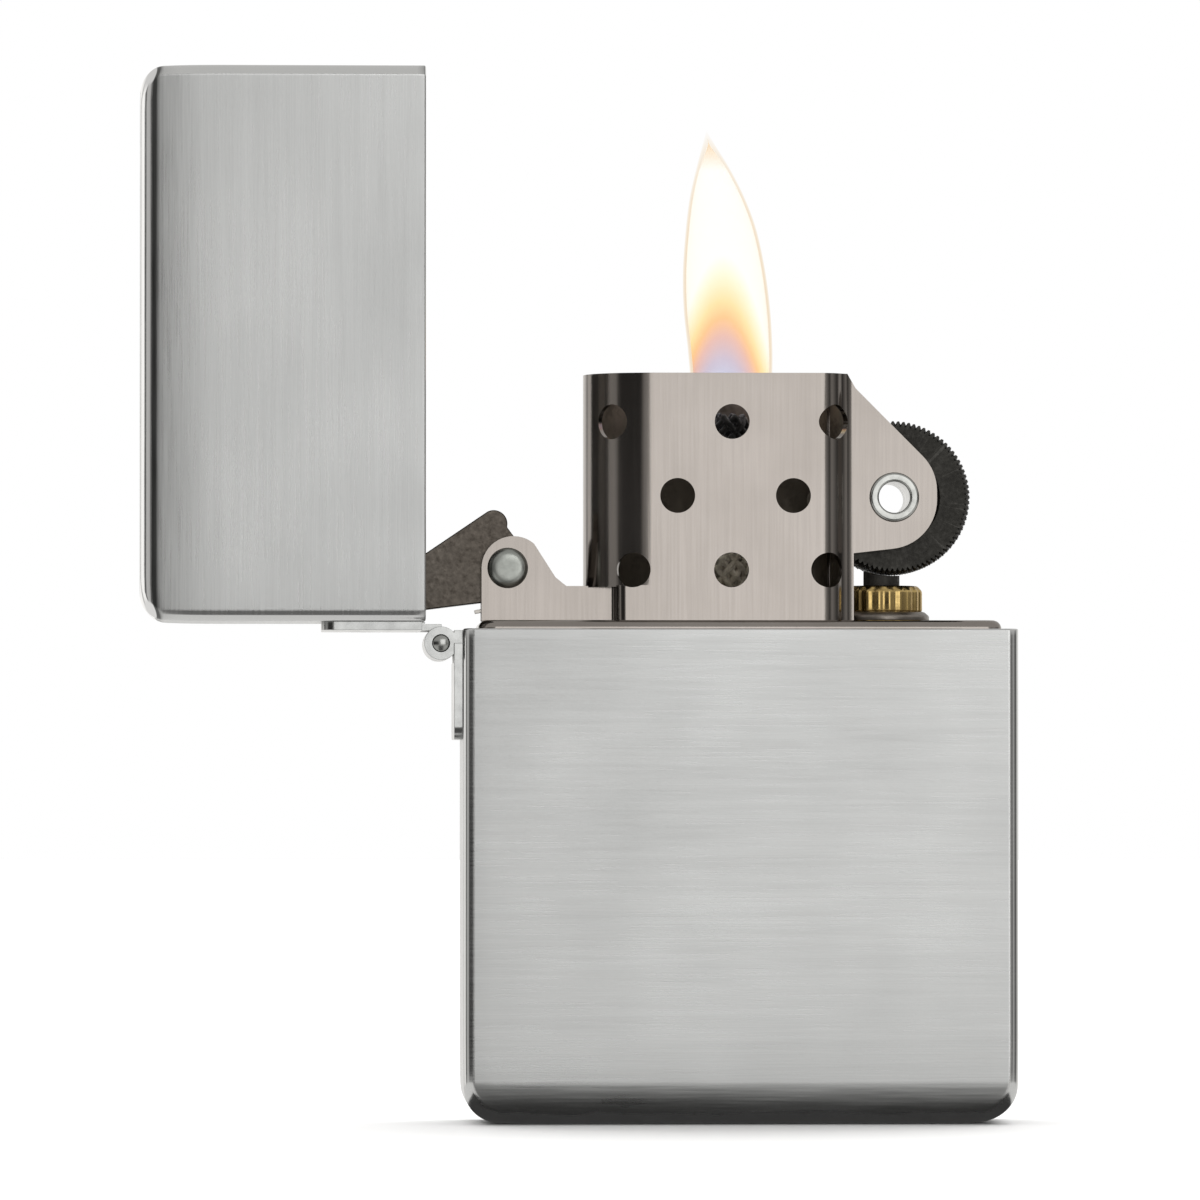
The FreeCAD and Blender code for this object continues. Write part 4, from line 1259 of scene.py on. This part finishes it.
def make_shade_card():
    """A painted shadow: a dark card under the lighter that stands in for its contact shadow, which only the
    metal mirrors.
    """
    half_x, half_y = CASE_WIDTH / 2 + CARD_MARGIN, CASE_DEPTH / 2 + CARD_MARGIN
    card = level_card(
        "shade_card", "shade_card_dark", half_x, half_y, -CARD_DROP, (0.07, 0.09), 400.0, 1.0, 0.0
    )
    card.visible_camera = False
    card.visible_diffuse = False
    card.visible_shadow = False


def towards(azimuth, elevation):
    """The direction from the object to a place seen at these angles, the front being 0, 0."""
    side, lift = math.radians(azimuth), math.radians(elevation)
    return Vector((math.sin(side) * math.cos(lift), -math.cos(side) * math.cos(lift), math.sin(lift)))


def placed(name, data, direction, distance):
    """A light or camera that looks at the object from a distance."""
    obj = bpy.data.objects.new(name, data)
    bpy.context.scene.collection.objects.link(obj)
    obj.location = (Vector(FRAME_CENTRE) + direction * distance) * MM
    obj.rotation_euler = (-direction).to_track_quat("-Z", "Y").to_euler()
    return obj


def greys(stops):
    """The stops of a ramp from (position, level) pairs, in a slightly warm grey."""
    return [(position, (level, level * 0.985, level * 0.96)) for position, level in stops]


def make_world():
    """A white background to look at. What the metal mirrors is a room with dark flags in it."""
    world = bpy.data.worlds.new("studio")
    bpy.context.scene.world = world
    world.use_nodes = True
    nodes = Nodes(world.node_tree)
    across, deep, up = nodes.split(nodes.add("ShaderNodeTexCoord").outputs["Generated"])
    turn = nodes.math("ARCTAN2", across, nodes.math("MULTIPLY", deep, -1.0))
    share = nodes.ranged(turn, -math.pi, math.pi)
    height = nodes.ranged(up, -1.0, 1.0)
    room = nodes.ramp(share, greys([((angle + 180) / 360, level) for angle, level in ROOM_LEVELS]))
    flag_height = nodes.ramp(height, greys(FLAG_SHARE))
    flag = nodes.math("MULTIPLY", flag_height, nodes.ramp(share, greys(FLAG_WIDTH)))
    for part, level in (
        (nodes.ramp(height, greys(CEILING_SHARE)), CEILING_LEVEL),
        (nodes.ramp(height, greys(TABLE_SHARE)), TABLE_LEVEL),
        (flag, FLAG_LEVEL),
    ):
        room = nodes.mixed(part, room, (level, level * 0.99, level * 0.97))
    mirrored = nodes.feed(nodes.add("ShaderNodeBackground"), {"Color": room})
    seen = nodes.feed(nodes.add("ShaderNodeBackground"), {"Color": (1.0, 1.0, 1.0)})
    to_camera = nodes.add("ShaderNodeLightPath").outputs["Is Camera Ray"]
    both = nodes.between(to_camera, mirrored.outputs[0], seen.outputs[0])
    nodes.link(both, nodes.add("ShaderNodeOutputWorld").inputs["Surface"])


def make_lights():
    """A large soft box in front, and an overhead sky for everything that isn't a mirror."""
    box = bpy.data.lights.new("front_box", "AREA")
    box.shape = "RECTANGLE"
    box.size, box.size_y = (side * MM for side in BOX_SIZE)
    box.energy = BOX_RADIANCE * math.pi * box.size * box.size_y
    placed("front_box", box, towards(*BOX_DIRECTION), BOX_DISTANCE).visible_camera = False
    sun = bpy.data.lights.new("overhead_sky", "SUN")
    sun.energy = 4.0
    sun.angle = math.radians(95)
    sky = bpy.data.objects.new("overhead_sky", sun)
    sky.visible_glossy = False
    bpy.context.scene.collection.objects.link(sky)
    sky.rotation_euler = (math.radians(-38), 0, 0)


def make_camera():
    data = bpy.data.cameras.new("camera")
    data.sensor_width = SENSOR_WIDTH
    data.lens = SENSOR_WIDTH * CAMERA_DISTANCE / FRAME_WIDTH
    data.clip_start = 0.01
    data.clip_end = 50.0
    direction = towards(CAMERA_AZIMUTH, CAMERA_ELEVATION)
    bpy.context.scene.camera = placed("camera", data, direction, CAMERA_DISTANCE)
    bpy.context.scene.view_settings.view_transform = "Standard"


noise.seed_set(7)
materials = make_materials()
make_case(materials)
make_lid(materials)
make_insert(materials)
make_packing(materials)
make_moving(materials)
make_flame()
make_floor()
make_shade_card()
make_world()
make_lights()
make_camera()
